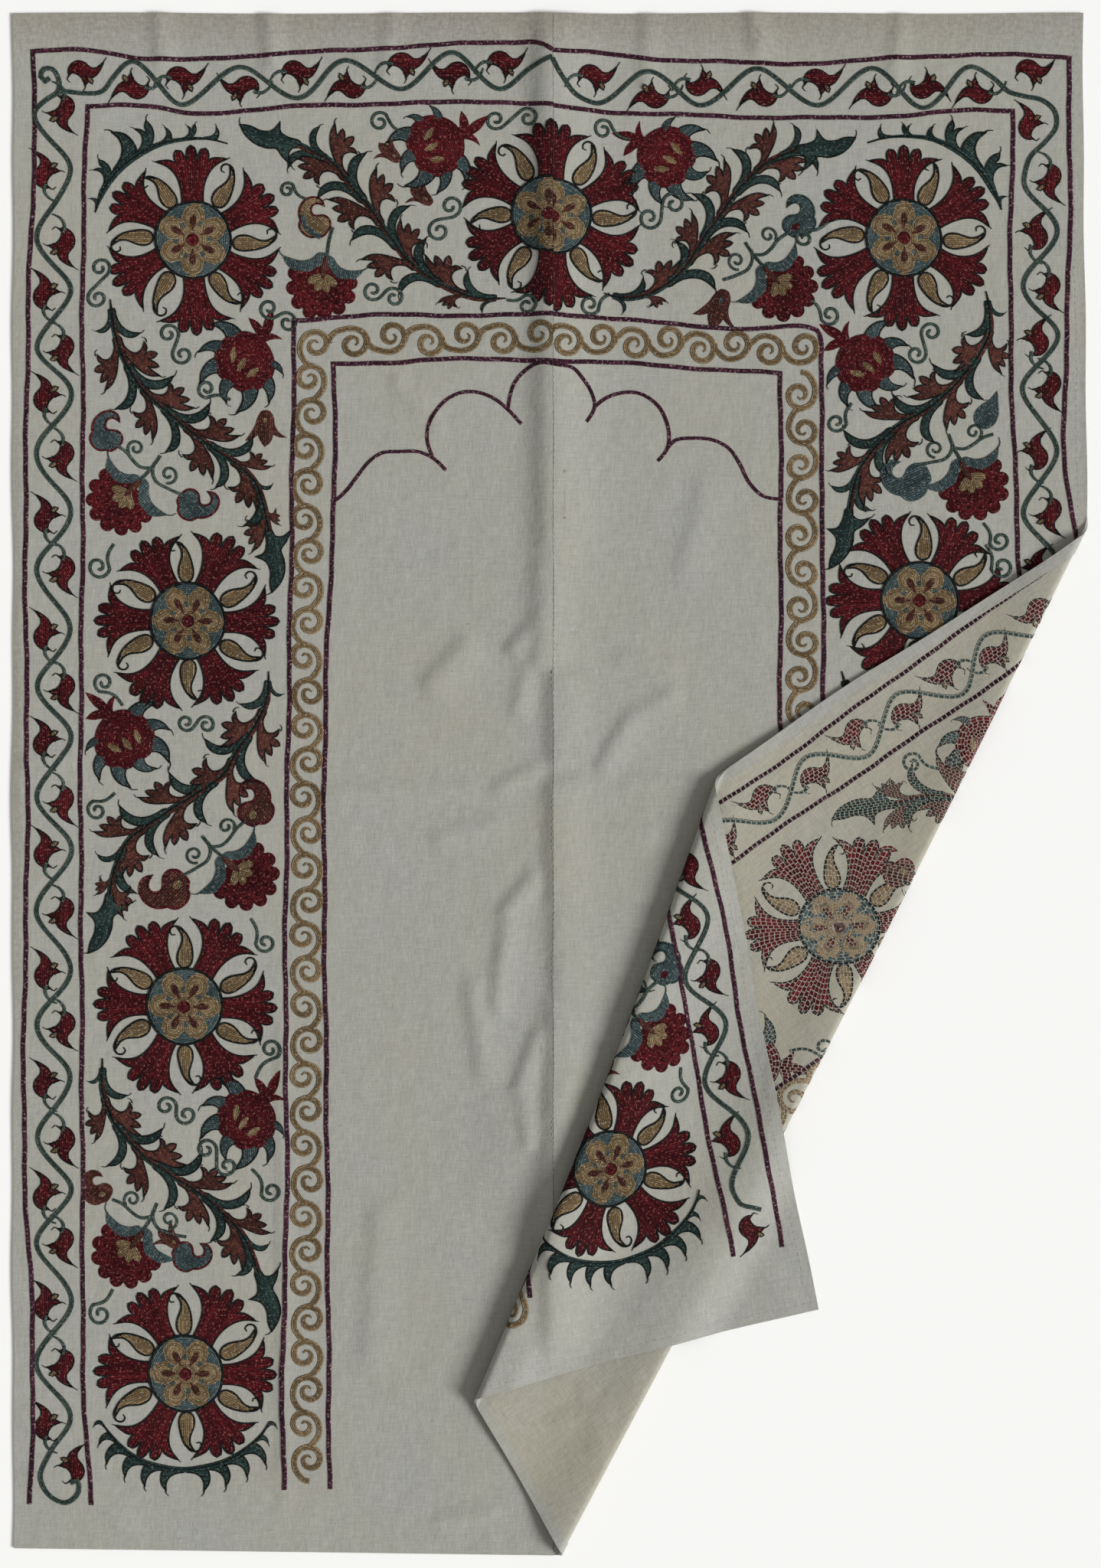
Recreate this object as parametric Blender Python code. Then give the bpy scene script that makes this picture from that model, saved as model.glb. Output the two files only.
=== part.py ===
"""A suzani: an embroidered cotton cloth of two loom-width panels, lying face up.

The right panel's lower corner is turned in twice: once along a long slanting
fold that starts at the foot of the centre seam, and once more outwards, so
that the corner lies face up again beyond the first fold. Metres, +Z up, the
origin under the middle of the cloth, on the surface it lies on.
"""
from collections import namedtuple
import math

import bmesh
import bpy
import numpy as np

# Driving sizes, in metres, read in the plane the cloth lies in
CLOTH = 0.0015
GAP = 0.0004
LEFT_X = -0.5040
TOP_Y = 0.7247
SEAM_X = 0.0030
SEAM_FOOT_Y = -0.7247
LEFT_FOOT_Y = -0.7180
RIGHT_TOP_X = 0.5010
RIGHT_FOOT_Y = -0.6915

# The right hem leans out a little above the fold and swells below it
LEAN, LEAN_FROM, LEAN_TO = 0.0036, 0.666, 0.244
SWELL, SWELL_FROM, SWELL_TO = 0.0158, 0.234, -0.112
NARROWING, NARROWING_FROM, NARROWING_TO = 0.0029, -0.198, -0.630
FOOT_HEM_ARCH = 0.0072

# The outer edges of the two folds, as seen from above
FOLD_ONE = np.array([[0.5040, 0.2437], [0.0086, -0.7247]])
FOLD_TWO = np.array([[0.1512, -0.0083], [-0.0713, -0.5800]])
ROLL_ONE = (0.0045, 0.0047)
ROLL_TWO = 0.0058
BOW_ONE, BOW_TWO = 0.0060, -0.0065
BOW_REACH = 0.060

# How high the turned layers lie, at the middle of the cloth's thickness
LAYER_TWO_REST = 0.0037
LAYER_TWO_SINK = 0.032
SECOND_FOLD_LIFT, SECOND_FOLD_REACH = 0.0050, 0.040
FOOT_LIFT, FOOT_LIFT_REACH = 0.0035, 0.055
LAYER_THREE_GAP, LAYER_THREE_SINK = 0.0031, 0.060
CORNER_DROP = 0.045
CORNER_REST = 0.0002

# Grid cells, and the lines across them that the folds need
CELL = 0.031
ROLL_STEPS = 6
LAYER_STEPS = (0.014, 0.034, 0.062)
SEAM_STEPS = (0.005, 0.011, 0.019, 0.030, 0.046)
LEAST_EDGE = 0.0016

# Soft ridges where the cloth doesn't lie flat: ends, height, width to each side
Ridge = namedtuple("Ridge", "start end height left right")
RIDGES = (
    Ridge((-0.0055, 0.735), (-0.0040, 0.300), 0.0034, 0.0085, 0.017),
    Ridge((-0.0040, 0.330), (-0.0060, 0.020), 0.0048, 0.0110, 0.019),
    Ridge((-0.0065, 0.060), (-0.0020, -0.480), 0.0032, 0.0090, 0.016),
    Ridge((-0.1980, -0.010), (0.1250, -0.018), 0.0016, 0.0080, 0.009),
)


def unit(vector):
    return vector / np.linalg.norm(vector)


def smooth(value):
    value = np.clip(value, 0.0, 1.0)
    return value * value * (3.0 - 2.0 * value)


ONE_LENGTH = np.linalg.norm(FOLD_ONE[1] - FOLD_ONE[0])
ONE_ALONG = unit(FOLD_ONE[1] - FOLD_ONE[0])
ONE_OUT = np.array([-ONE_ALONG[1], ONE_ALONG[0]])
TWO_LENGTH = np.linalg.norm(FOLD_TWO[1] - FOLD_TWO[0])
TWO_ALONG = unit(FOLD_TWO[1] - FOLD_TWO[0])
TWO_OUT = np.array([TWO_ALONG[1], -TWO_ALONG[0]])


def roll_one_radius(points):
    along = np.clip((points - FOLD_ONE[0]) @ ONE_ALONG / ONE_LENGTH, 0.0, 1.0)
    return ROLL_ONE[0] + (ROLL_ONE[1] - ROLL_ONE[0]) * along


def turned_back_out(points):
    """Where a point of the turned layer lies in the cloth before the first fold."""
    radius = roll_one_radius(points)
    past = (points - FOLD_ONE[0]) @ ONE_OUT + radius
    return points + ((math.pi * radius - 2.0 * past)[:, None]) * ONE_OUT


TWO_FLAT = turned_back_out(FOLD_TWO - ROLL_TWO * TWO_OUT)
TWO_FLAT_ALONG = unit(TWO_FLAT[1] - TWO_FLAT[0])
TWO_FLAT_OUT = np.array([-TWO_FLAT_ALONG[1], TWO_FLAT_ALONG[0]])


def ridge_height(plan):
    """Height of the soft ridges at points of the cloth's plan."""
    total = np.zeros(len(plan))
    for ridge in RIDGES:
        start, end = np.array(ridge.start), np.array(ridge.end)
        length = np.linalg.norm(end - start)
        along = unit(end - start)
        share = (plan - start) @ along / length
        across = (plan - start) @ np.array([along[1], -along[0]])
        width = np.where(across < 0.0, ridge.right, ridge.left)
        fade = smooth(share / 0.12) * smooth((1.0 - share) / 0.12)
        total = np.maximum(total, ridge.height * fade * np.exp(-(across / width) ** 2))
    return total


def turned_height(plan, inward, radius, from_two):
    """Mid-height of the second layer."""
    rise = CLOTH / 2 + 2.0 * radius - LAYER_TWO_REST
    height = LAYER_TWO_REST + rise * np.exp(-(np.maximum(inward, 0.0) / LAYER_TWO_SINK) ** 2)
    height += SECOND_FOLD_LIFT * np.exp(-(from_two / SECOND_FOLD_REACH) ** 2)
    from_foot = np.linalg.norm(plan - FOLD_ONE[1], axis=1)
    height += FOOT_LIFT * np.exp(-(from_foot / FOOT_LIFT_REACH) ** 2)
    return height + ridge_height(plan)


def laid(flat):
    """The cloth's mid-surface as it lies, from points of the cloth spread flat."""
    beyond = (flat - TWO_FLAT[0]) @ TWO_FLAT_OUT
    turn_two = np.clip(beyond / ROLL_TWO, 0.0, math.pi)
    folded = beyond - math.pi * ROLL_TWO
    step_two = np.where(folded > 0.0, -folded, ROLL_TWO * np.sin(turn_two)) - beyond
    once = flat + np.where(beyond > 0.0, step_two, 0.0)[:, None] * TWO_FLAT_OUT

    radius = roll_one_radius(once)
    past = (once - FOLD_ONE[0]) @ ONE_OUT + radius
    turn_one = np.clip(past / radius, 0.0, math.pi)
    inward = past - math.pi * radius
    over = (inward > 0.0) | (beyond > 0.0)
    step_one = np.where(over, -inward, radius * np.sin(turn_one)) - past
    plan = once + np.where((past > 0.0) | over, step_one, 0.0)[:, None] * ONE_OUT

    along_one = np.clip((plan - FOLD_ONE[0]) @ ONE_ALONG / ONE_LENGTH, 0.0, 1.0)
    near_one = np.exp(-(np.where(past < 0.0, past, inward.clip(0.0)) / BOW_REACH) ** 2)
    bow_one = np.where(beyond > 0.0, 0.0, BOW_ONE * np.sin(math.pi * along_one) * near_one)
    from_two = np.where(beyond > 0.0, folded.clip(0.0), -beyond)
    along_two = np.clip((plan - FOLD_TWO[0]) @ TWO_ALONG / TWO_LENGTH, 0.0, 1.0)
    near_two = np.where(over, np.exp(-(from_two / BOW_REACH) ** 2), 0.0)
    bow_two = BOW_TWO * np.sin(math.pi * along_two) * near_two
    plan = plan + bow_one[:, None] * ONE_OUT + bow_two[:, None] * TWO_OUT

    second = turned_height(plan, inward, radius, from_two)
    spread = LAYER_THREE_GAP + (2.0 * ROLL_TWO - LAYER_THREE_GAP) * np.exp(
        -(from_two / LAYER_THREE_SINK) ** 2)
    third = second + spread
    floor = CLOTH / 2 + CORNER_REST
    third = floor + (third - floor) * (1.0 - smooth((-inward - radius) / CORNER_DROP))
    first = CLOTH / 2 + ridge_height(plan)
    rising = first + (second - first) * (1.0 - np.cos(turn_one)) / 2.0
    height = np.where(over, second, np.where(past > 0.0, rising, first))
    upper = second + (third - second) * (1.0 - np.cos(turn_two)) / 2.0
    height = np.where(beyond > 0.0, upper, height)
    return np.column_stack([plan, height])


def hem_x(y):
    """The right hem of the cloth spread flat."""
    return (RIGHT_TOP_X + LEAN * smooth((LEAN_FROM - y) / (LEAN_FROM - LEAN_TO))
            + SWELL * smooth((SWELL_FROM - y) / (SWELL_FROM - SWELL_TO))
            - NARROWING * smooth((NARROWING_FROM - y) / (NARROWING_FROM - NARROWING_TO)))


def cut(mesh, point, direction):
    """Adds a line of edges across a flat mesh, through a point."""
    normal = (-direction[1], direction[0], 0.0)
    bmesh.ops.bisect_plane(
        mesh, geom=mesh.verts[:] + mesh.edges[:] + mesh.faces[:],
        plane_co=(point[0], point[1], 0.0), plane_no=normal)


def flat_grid(columns, rows):
    """A unit grid, from 0 to 1 in X and Y."""
    mesh = bmesh.new()
    bmesh.ops.create_grid(mesh, x_segments=columns, y_segments=rows, size=0.5)
    bmesh.ops.translate(mesh, verts=mesh.verts, vec=(0.5, 0.5, 0.0))
    return mesh


def move_vertices(mesh, rule):
    points = np.array([vertex.co for vertex in mesh.verts])
    for vertex, place in zip(mesh.verts, rule(points[:, :2])):
        vertex.co = place if len(place) == 3 else (place[0], place[1], 0.0)


def cotton(name, colour):
    material = bpy.data.materials.new(name)
    material.use_nodes = True
    shader = material.node_tree.nodes["Principled BSDF"]
    shader.inputs["Base Color"].default_value = (*colour, 1.0)
    shader.inputs["Roughness"].default_value = 0.92
    shader.inputs["Metallic"].default_value = 0.0
    return material


def finish_panel(name, mesh, colour):
    """Lays the flat mesh in its folds and gives it the cloth's thickness."""
    bmesh.ops.remove_doubles(mesh, verts=mesh.verts, dist=LEAST_EDGE)
    bmesh.ops.triangulate(mesh, faces=mesh.faces)
    move_vertices(mesh, laid)
    data = bpy.data.meshes.new(name)
    mesh.to_mesh(data)
    mesh.free()
    data.materials.append(cotton(name, colour))
    panel = bpy.data.objects.new(name, data)
    bpy.context.scene.collection.objects.link(panel)
    wall = panel.modifiers.new("thickness", "SOLIDIFY")
    wall.thickness = CLOTH
    wall.offset = 0.0
    wall.use_quality_normals = True
    return panel


def left_panel():
    """The left loom width, flat but for the soft ridge beside the seam."""
    right = SEAM_X - GAP / 2
    mesh = flat_grid(13, 40)

    def outline(unit_points):
        across, up = unit_points[:, 0], unit_points[:, 1]
        foot = LEFT_FOOT_Y + (SEAM_FOOT_Y - LEFT_FOOT_Y) * across
        return np.column_stack([LEFT_X + (right - LEFT_X) * across, foot + (TOP_Y - foot) * up])

    move_vertices(mesh, outline)
    for step in SEAM_STEPS:
        cut(mesh, (SEAM_X - step, 0.0), (0.0, 1.0))
    return finish_panel("left_panel", mesh, (0.30, 0.285, 0.25))


def right_panel():
    """The right loom width, with its lower corner turned in and out again."""
    left = SEAM_X + GAP / 2
    wide, high = RIGHT_TOP_X - left, TOP_Y - SEAM_FOOT_Y
    mesh = flat_grid(round(wide / CELL), round(high / CELL))

    def outline(unit_points):
        across, up = unit_points[:, 0], unit_points[:, 1]
        foot = SEAM_FOOT_Y + (RIGHT_FOOT_Y - SEAM_FOOT_Y) * across
        foot = foot + FOOT_HEM_ARCH * np.sin(math.pi * across)
        y = foot + (TOP_Y - foot) * up
        return np.column_stack([left + (hem_x(y) - left) * across, y])

    move_vertices(mesh, outline)
    for step in SEAM_STEPS[1::2]:
        cut(mesh, (SEAM_X + step, 0.0), (0.0, 1.0))
    for turn in range(ROLL_STEPS + 1):
        share = math.pi * turn / ROLL_STEPS - 1.0
        ends = FOLD_ONE + share * np.array(ROLL_ONE)[:, None] * ONE_OUT
        cut(mesh, ends[0], ends[1] - ends[0])
        cut(mesh, TWO_FLAT[0] + (share + 1.0) * ROLL_TWO * TWO_FLAT_OUT, TWO_FLAT_ALONG)
    for step in LAYER_STEPS:
        cut(mesh, FOLD_ONE[0] + ((math.pi - 1.0) * ROLL_ONE[0] + step) * ONE_OUT, ONE_ALONG)
        cut(mesh, TWO_FLAT[0] - step * TWO_FLAT_OUT, TWO_FLAT_ALONG)
        cut(mesh, TWO_FLAT[0] + (math.pi * ROLL_TWO + step) * TWO_FLAT_OUT, TWO_FLAT_ALONG)
    return finish_panel("right_panel", mesh, (0.31, 0.295, 0.255))


for leftover in list(bpy.data.objects):
    bpy.data.objects.remove(leftover, do_unlink=True)
left_panel()
right_panel()
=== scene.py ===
"""The looks of a suzani: two loom widths of plain cotton joined down the middle,
embroidered in floss silk, lying face up with one lower corner turned in and
out again. Metres throughout; places on the cloth spread flat are in mm.
"""

from collections import defaultdict, namedtuple
import math

import bmesh
import bpy
from mathutils import Matrix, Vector
import numpy as np


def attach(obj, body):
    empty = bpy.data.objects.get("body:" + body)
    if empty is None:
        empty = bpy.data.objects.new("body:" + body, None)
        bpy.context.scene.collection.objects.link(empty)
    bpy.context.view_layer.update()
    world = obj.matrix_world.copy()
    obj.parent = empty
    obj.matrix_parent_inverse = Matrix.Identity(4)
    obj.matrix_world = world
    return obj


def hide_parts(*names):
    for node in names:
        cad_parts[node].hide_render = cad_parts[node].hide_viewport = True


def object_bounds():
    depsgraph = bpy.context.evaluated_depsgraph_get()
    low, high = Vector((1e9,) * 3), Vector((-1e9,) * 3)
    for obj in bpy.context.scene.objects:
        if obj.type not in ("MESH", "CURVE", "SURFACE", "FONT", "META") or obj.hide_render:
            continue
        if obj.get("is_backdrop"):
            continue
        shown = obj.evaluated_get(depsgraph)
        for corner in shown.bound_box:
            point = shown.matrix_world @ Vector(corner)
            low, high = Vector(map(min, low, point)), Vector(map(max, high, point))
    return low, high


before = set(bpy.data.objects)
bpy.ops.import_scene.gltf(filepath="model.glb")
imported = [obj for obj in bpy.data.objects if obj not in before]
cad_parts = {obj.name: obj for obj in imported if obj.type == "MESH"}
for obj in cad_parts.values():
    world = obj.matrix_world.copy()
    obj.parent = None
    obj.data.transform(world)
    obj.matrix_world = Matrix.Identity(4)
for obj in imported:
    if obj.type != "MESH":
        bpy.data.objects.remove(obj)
cad_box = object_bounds()
MM = 0.001

# Left panel: one loom width of unbleached cotton, woven plain in slubby
# hand-spun yarn. It lies flat but for a soft ridge beside the seam, and for
# faint creases where it has been folded away.
CLOTH = 1.5 * MM
LEFT_X, SEAM_X, SEAM_GAP = -504.0 * MM, 3.0 * MM, 0.4 * MM
TOP_Y, SEAM_FOOT_Y, LEFT_FOOT_Y = 724.7 * MM, -724.7 * MM, -718.0 * MM
CELL_WIDE, CELL_HIGH = 5.1 * MM, 5.7 * MM
FLOOR_SKIN = -0.0002

# Soft ridges of the lying cloth, in mm: two ends, height, and the width on the
# left and the right of the way from the first end to the second
Ridge = namedtuple("Ridge", "x0 y0 x1 y1 height left right")
SEAM_RIDGES = (
    Ridge(-2.0, 770, -1.0, 150, 8.2, 34, 15),
    Ridge(-3.0, 225, -9.0, 100, 6.6, 28, 14),
    Ridge(3.5, 118, 4.5, 8, 4.8, 28, 8.5),
    Ridge(4.5, 20, 4.5, -130, 5.6, 30, 9.5),
    Ridge(6.5, -90, 6.5, -225, 4.8, 30, 8.5),
    Ridge(4.0, -170, 2.0, -560, 6.6, 30, 10.5),
)
CREASES = (
    Ridge(-2, 168, -42, 120, 2.8, 22, 7),
    Ridge(-72, 142, -122, 86, 2.0, 26, 9),
    Ridge(-20, 120, -34, 60, 1.6, 14, 8),
    Ridge(122, 92, 62, 56, 1.5, 18, 6),
    Ridge(80, 72, 40, 8, 2.1, 20, 7),
    Ridge(60, 122, 128, 110, 1.0, 5, 9),
    Ridge(-4, 20, -60, -6, 1.6, 12, 4.5),
    Ridge(-50, 0, -230, -6, 0.9, 14, 5),
    Ridge(60, 8, 165, 2, 1.2, 5, 12),
    Ridge(-40, -32, -118, -50, 1.3, 14, 5),
    Ridge(20, -38, 104, -46, 0.9, 5, 12),
    Ridge(-12, -80, -50, -128, 2.4, 16, 6.5),
    Ridge(-40, -110, -54, -226, 2.2, 16, 7.5),
    Ridge(-78, -176, -62, -284, 1.9, 18, 7),
    Ridge(-8, -222, -34, -296, 2.6, 20, 7),
    Ridge(-30, -270, -20, -350, 1.8, 16, 7),
    Ridge(-150, 386, -112, 340, 1.2, 6, 8),
    Ridge(-128, 376, -100, 326, 1.0, 6, 7),
    Ridge(-114, -694, -44, -682, 1.2, 6, 8),
    Ridge(-254, -176, -251, -704, 0.9, 10, 5),
    Ridge(-371, 745, -365, 670, 1.7, 14, 7),
    Ridge(-268, 745, -262, 662, 1.9, 14, 7),
    Ridge(-150, 745, -156, 650, 1.2, 14, 7),
    Ridge(92, 745, 88, 640, 1.3, 14, 7),
    Ridge(188, 745, 196, 680, 1.9, 14, 8),
    Ridge(330, 745, 322, 655, 1.3, 14, 8),
    Ridge(24, 240, 30, -30, 0.9, 14, 6),
    Ridge(-420, -40, -220, -44, 0.8, 7, 12),
    Ridge(-500, -640, -380, -700, 1.1, 10, 12),
    Ridge(-504, 20, -440, 28, 1.0, 6, 10),
    Ridge(150, 300, 120, 180, 1.1, 22, 10),
    Ridge(-160, -380, -172, -560, 1.2, 24, 10),
)

# Slow swells all over: length along X and Y in mm, height in mm, phase
Swell = namedtuple("Swell", "x_length y_length height phase")
SWELLS = (
    Swell(310, 900, 0.28, 0.4),
    Swell(-170, 260, 0.20, 1.9),
    Swell(95, 150, 0.11, 3.1),
    Swell(64, -88, 0.07, 5.2),
)


def smooth(value):
    value = np.clip(value, 0.0, 1.0)
    return value * value * (3.0 - 2.0 * value)


# All the creases, made a little higher and narrower than their table has them
CREASE_RISE, CREASE_SPREAD = 1.7, 0.85


def ridges(plan, table, rise=1.0, spread=1.0):
    """Height in metres of the highest ridge of a table at each point."""
    total = np.zeros(len(plan))
    for ridge in table:
        start = np.array([ridge.x0, ridge.y0]) * MM
        way = np.array([ridge.x1, ridge.y1]) * MM - start
        length = np.linalg.norm(way)
        share = (plan - start) @ way / length ** 2
        across = (plan - start) @ np.array([-way[1], way[0]]) / length
        width = np.where(across > 0.0, ridge.left, ridge.right) * MM * spread
        fade = smooth(share / 0.15) * smooth((1.0 - share) / 0.15)
        total = np.maximum(total, ridge.height * MM * fade * np.exp(-(across / width) ** 2))
    return total * rise


def swells(plan):
    total = np.zeros(len(plan))
    for swell in SWELLS:
        turn = plan[:, 0] / swell.x_length + plan[:, 1] / swell.y_length
        total += swell.height * MM * (1.0 + np.sin(2.0 * math.pi * turn / MM + swell.phase)) / 2
    return total


def first_layer(plan):
    creases = ridges(plan, CREASES, CREASE_RISE, CREASE_SPREAD)
    return CLOTH / 2 + np.maximum(ridges(plan, SEAM_RIDGES), creases) + swells(plan)


# The way the right panel's corner is turned in and out again belongs to the
# lie of every piece on it, so the whole lie is worked out here once
RIGHT_TOP_X, RIGHT_FOOT_Y, FOOT_HEM_ARCH = 501.0 * MM, -691.5 * MM, 7.2 * MM
LEAN, LEAN_FROM, LEAN_TO = 3.6 * MM, 666 * MM, 244 * MM
SWELL, SWELL_FROM, SWELL_TO = 15.8 * MM, 234 * MM, -112 * MM
NARROWING, NARROWING_FROM, NARROWING_TO = 2.9 * MM, -198 * MM, -630 * MM
FOLD_ONE = np.array([[504.0, 243.7], [8.6, -724.7]]) * MM
FOLD_TWO = np.array([[151.2, -8.3], [-71.3, -580.0]]) * MM
ROLL_ONE, ROLL_TWO = np.array([4.5, 4.7]) * MM, 5.8 * MM
BOW_ONE, BOW_TWO, BOW_REACH = 6.0 * MM, -6.5 * MM, 60 * MM
LAYER_TWO_REST, LAYER_TWO_SINK = 3.7 * MM, 32 * MM
SECOND_FOLD_LIFT, SECOND_FOLD_REACH = 5.0 * MM, 40 * MM
FOOT_LIFT, FOOT_LIFT_REACH = 3.5 * MM, 55 * MM
LAYER_THREE_GAP, LAYER_THREE_SINK = 3.1 * MM, 60 * MM
CORNER_DROP, CORNER_REST = 45 * MM, 0.2 * MM
SECOND_LAYER_RIDGES = (
    Ridge(300, 60, 150, -40, 1.0, 9, 9),
    Ridge(60, -585, 0, -600, 1.5, 8, 10),
    Ridge(30, -560, 52, -640, 1.0, 8, 10),
    Ridge(330, -10, 245, -170, 1.0, 12, 12),
)
THIRD_LAYER_RIDGES = (
    Ridge(205, -120, 215, -330, 1.4, 10, 12),
    Ridge(120, -440, 40, -560, 1.2, 14, 12),
    Ridge(150, -380, 235, -500, 1.1, 12, 12),
    Ridge(-20, -520, -40, -590, 1.5, 8, 8),
)


def unit(vector):
    return vector / np.linalg.norm(vector)


ONE_LENGTH = np.linalg.norm(FOLD_ONE[1] - FOLD_ONE[0])
ONE_ALONG = unit(FOLD_ONE[1] - FOLD_ONE[0])
ONE_OUT = np.array([-ONE_ALONG[1], ONE_ALONG[0]])
TWO_LENGTH = np.linalg.norm(FOLD_TWO[1] - FOLD_TWO[0])
TWO_ALONG = unit(FOLD_TWO[1] - FOLD_TWO[0])
TWO_OUT = np.array([TWO_ALONG[1], -TWO_ALONG[0]])


def roll_one_radius(points):
    along = np.clip((points - FOLD_ONE[0]) @ ONE_ALONG / ONE_LENGTH, 0.0, 1.0)
    return ROLL_ONE[0] + (ROLL_ONE[1] - ROLL_ONE[0]) * along


def turned_back_out(points):
    """Where a point of the turned layer lies in the cloth before the first fold."""
    radius = roll_one_radius(points)
    past = (points - FOLD_ONE[0]) @ ONE_OUT + radius
    return points + ((math.pi * radius - 2.0 * past)[:, None]) * ONE_OUT


TWO_FLAT = turned_back_out(FOLD_TWO - ROLL_TWO * TWO_OUT)
TWO_FLAT_ALONG = unit(TWO_FLAT[1] - TWO_FLAT[0])
TWO_FLAT_OUT = np.array([-TWO_FLAT_ALONG[1], TWO_FLAT_ALONG[0]])


def second_layer(plan, inward, radius, from_two):
    rise = CLOTH / 2 + 2.0 * radius - LAYER_TWO_REST
    height = LAYER_TWO_REST + rise * np.exp(-(np.maximum(inward, 0.0) / LAYER_TWO_SINK) ** 2)
    height += SECOND_FOLD_LIFT * np.exp(-(from_two / SECOND_FOLD_REACH) ** 2)
    from_foot = np.linalg.norm(plan - FOLD_ONE[1], axis=1)
    height += FOOT_LIFT * np.exp(-(from_foot / FOOT_LIFT_REACH) ** 2)
    return height + ridges(plan, SEAM_RIDGES) + ridges(plan, SECOND_LAYER_RIDGES)


def laid(flat):
    """The middle of the cloth as it lies, from points of the cloth spread flat."""
    beyond = (flat - TWO_FLAT[0]) @ TWO_FLAT_OUT
    turn_two = np.clip(beyond / ROLL_TWO, 0.0, math.pi)
    folded = beyond - math.pi * ROLL_TWO
    step_two = np.where(folded > 0.0, -folded, ROLL_TWO * np.sin(turn_two)) - beyond
    once = flat + np.where(beyond > 0.0, step_two, 0.0)[:, None] * TWO_FLAT_OUT

    radius = roll_one_radius(once)
    past = (once - FOLD_ONE[0]) @ ONE_OUT + radius
    turn_one = np.clip(past / radius, 0.0, math.pi)
    inward = past - math.pi * radius
    over = (inward > 0.0) | (beyond > 0.0)
    step_one = np.where(over, -inward, radius * np.sin(turn_one)) - past
    plan = once + np.where((past > 0.0) | over, step_one, 0.0)[:, None] * ONE_OUT

    along_one = np.clip((plan - FOLD_ONE[0]) @ ONE_ALONG / ONE_LENGTH, 0.0, 1.0)
    near_one = np.exp(-(np.where(past < 0.0, past, inward.clip(0.0)) / BOW_REACH) ** 2)
    bow_one = np.where(beyond > 0.0, 0.0, BOW_ONE * np.sin(math.pi * along_one) * near_one)
    from_two = np.where(beyond > 0.0, folded.clip(0.0), -beyond)
    along_two = np.clip((plan - FOLD_TWO[0]) @ TWO_ALONG / TWO_LENGTH, 0.0, 1.0)
    near_two = np.where(over, np.exp(-(from_two / BOW_REACH) ** 2), 0.0)
    bow_two = BOW_TWO * np.sin(math.pi * along_two) * near_two
    plan = plan + bow_one[:, None] * ONE_OUT + bow_two[:, None] * TWO_OUT

    second = second_layer(plan, inward, radius, from_two)
    spread = LAYER_THREE_GAP + (2.0 * ROLL_TWO - LAYER_THREE_GAP) * np.exp(
        -(from_two / LAYER_THREE_SINK) ** 2)
    third = second + spread + ridges(plan, THIRD_LAYER_RIDGES)
    floor = CLOTH / 2 + CORNER_REST + ridges(plan, THIRD_LAYER_RIDGES)
    third = floor + (third - floor) * (1.0 - smooth((-inward - radius) / CORNER_DROP))
    first = first_layer(plan)
    rising = first + (second - first) * (1.0 - np.cos(turn_one)) / 2.0
    height = np.where(over, second, np.where(past > 0.0, rising, first))
    upper = second + (third - second) * (1.0 - np.cos(turn_two)) / 2.0
    height = np.where(beyond > 0.0, upper, height)
    return np.column_stack([plan, height])


def set_down(data):
    """Lays a mesh made flat in the cloth's folds: its Z is the height over the
    middle of the cloth, and its X and Y become the UV map, in metres."""
    count = len(data.vertices)
    places = np.zeros(count * 3)
    data.vertices.foreach_get("co", places)
    places = places.reshape(-1, 3)
    flat = places[:, :2]
    middle = laid(flat)
    step = 0.2 * MM
    along_x = laid(flat + np.array([step, 0.0])) - middle
    along_y = laid(flat + np.array([0.0, step])) - middle
    normal = np.cross(along_x, along_y)
    normal /= np.linalg.norm(normal, axis=1)[:, None]
    lying = middle + places[:, 2:3] * normal
    lying[:, 2] = np.maximum(lying[:, 2], FLOOR_SKIN)
    data.vertices.foreach_set("co", lying.astype(np.float32).ravel())
    data.update()


def flat_uv(data, name="cloth"):
    """A UV map that holds each corner's X and Y, in metres."""
    corners = np.zeros(len(data.loops), dtype=np.int32)
    data.loops.foreach_get("vertex_index", corners)
    places = np.zeros(len(data.vertices) * 3)
    data.vertices.foreach_get("co", places)
    layer = data.uv_layers.new(name=name)
    layer.data.foreach_set("uv", places.reshape(-1, 3)[corners, :2].astype(np.float32).ravel())


def cut(mesh, point, direction):
    """Adds a line of edges across a flat mesh, through a point."""
    bmesh.ops.bisect_plane(
        mesh, geom=mesh.verts[:] + mesh.edges[:] + mesh.faces[:], dist=1e-6,
        plane_co=(point[0], point[1], 0.0), plane_no=(-direction[1], direction[0], 0.0))


def flat_grid(columns, rows, outline):
    """A grid whose unit square is bent to an outline."""
    mesh = bmesh.new()
    bmesh.ops.create_grid(mesh, x_segments=columns, y_segments=rows, size=0.5)
    places = np.array([vertex.co for vertex in mesh.verts]) + 0.5
    for vertex, place in zip(mesh.verts, outline(places[:, 0], places[:, 1])):
        vertex.co = (place[0], place[1], 0.0)
    return mesh


def thicken(mesh, low, high):
    """Makes a flat sheet a closed body between two heights, its faces out.
    The faces of its lower side get the second material."""
    for vertex in mesh.verts:
        vertex.co.z += low
    lower = mesh.faces[:]
    raised = bmesh.ops.extrude_face_region(mesh, geom=lower, use_keep_orig=True)
    for vertex in raised["geom"]:
        if isinstance(vertex, bmesh.types.BMVert):
            vertex.co.z += high - low
    for face in lower:
        face.material_index = 1
    bmesh.ops.recalc_face_normals(mesh, faces=mesh.faces)


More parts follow.
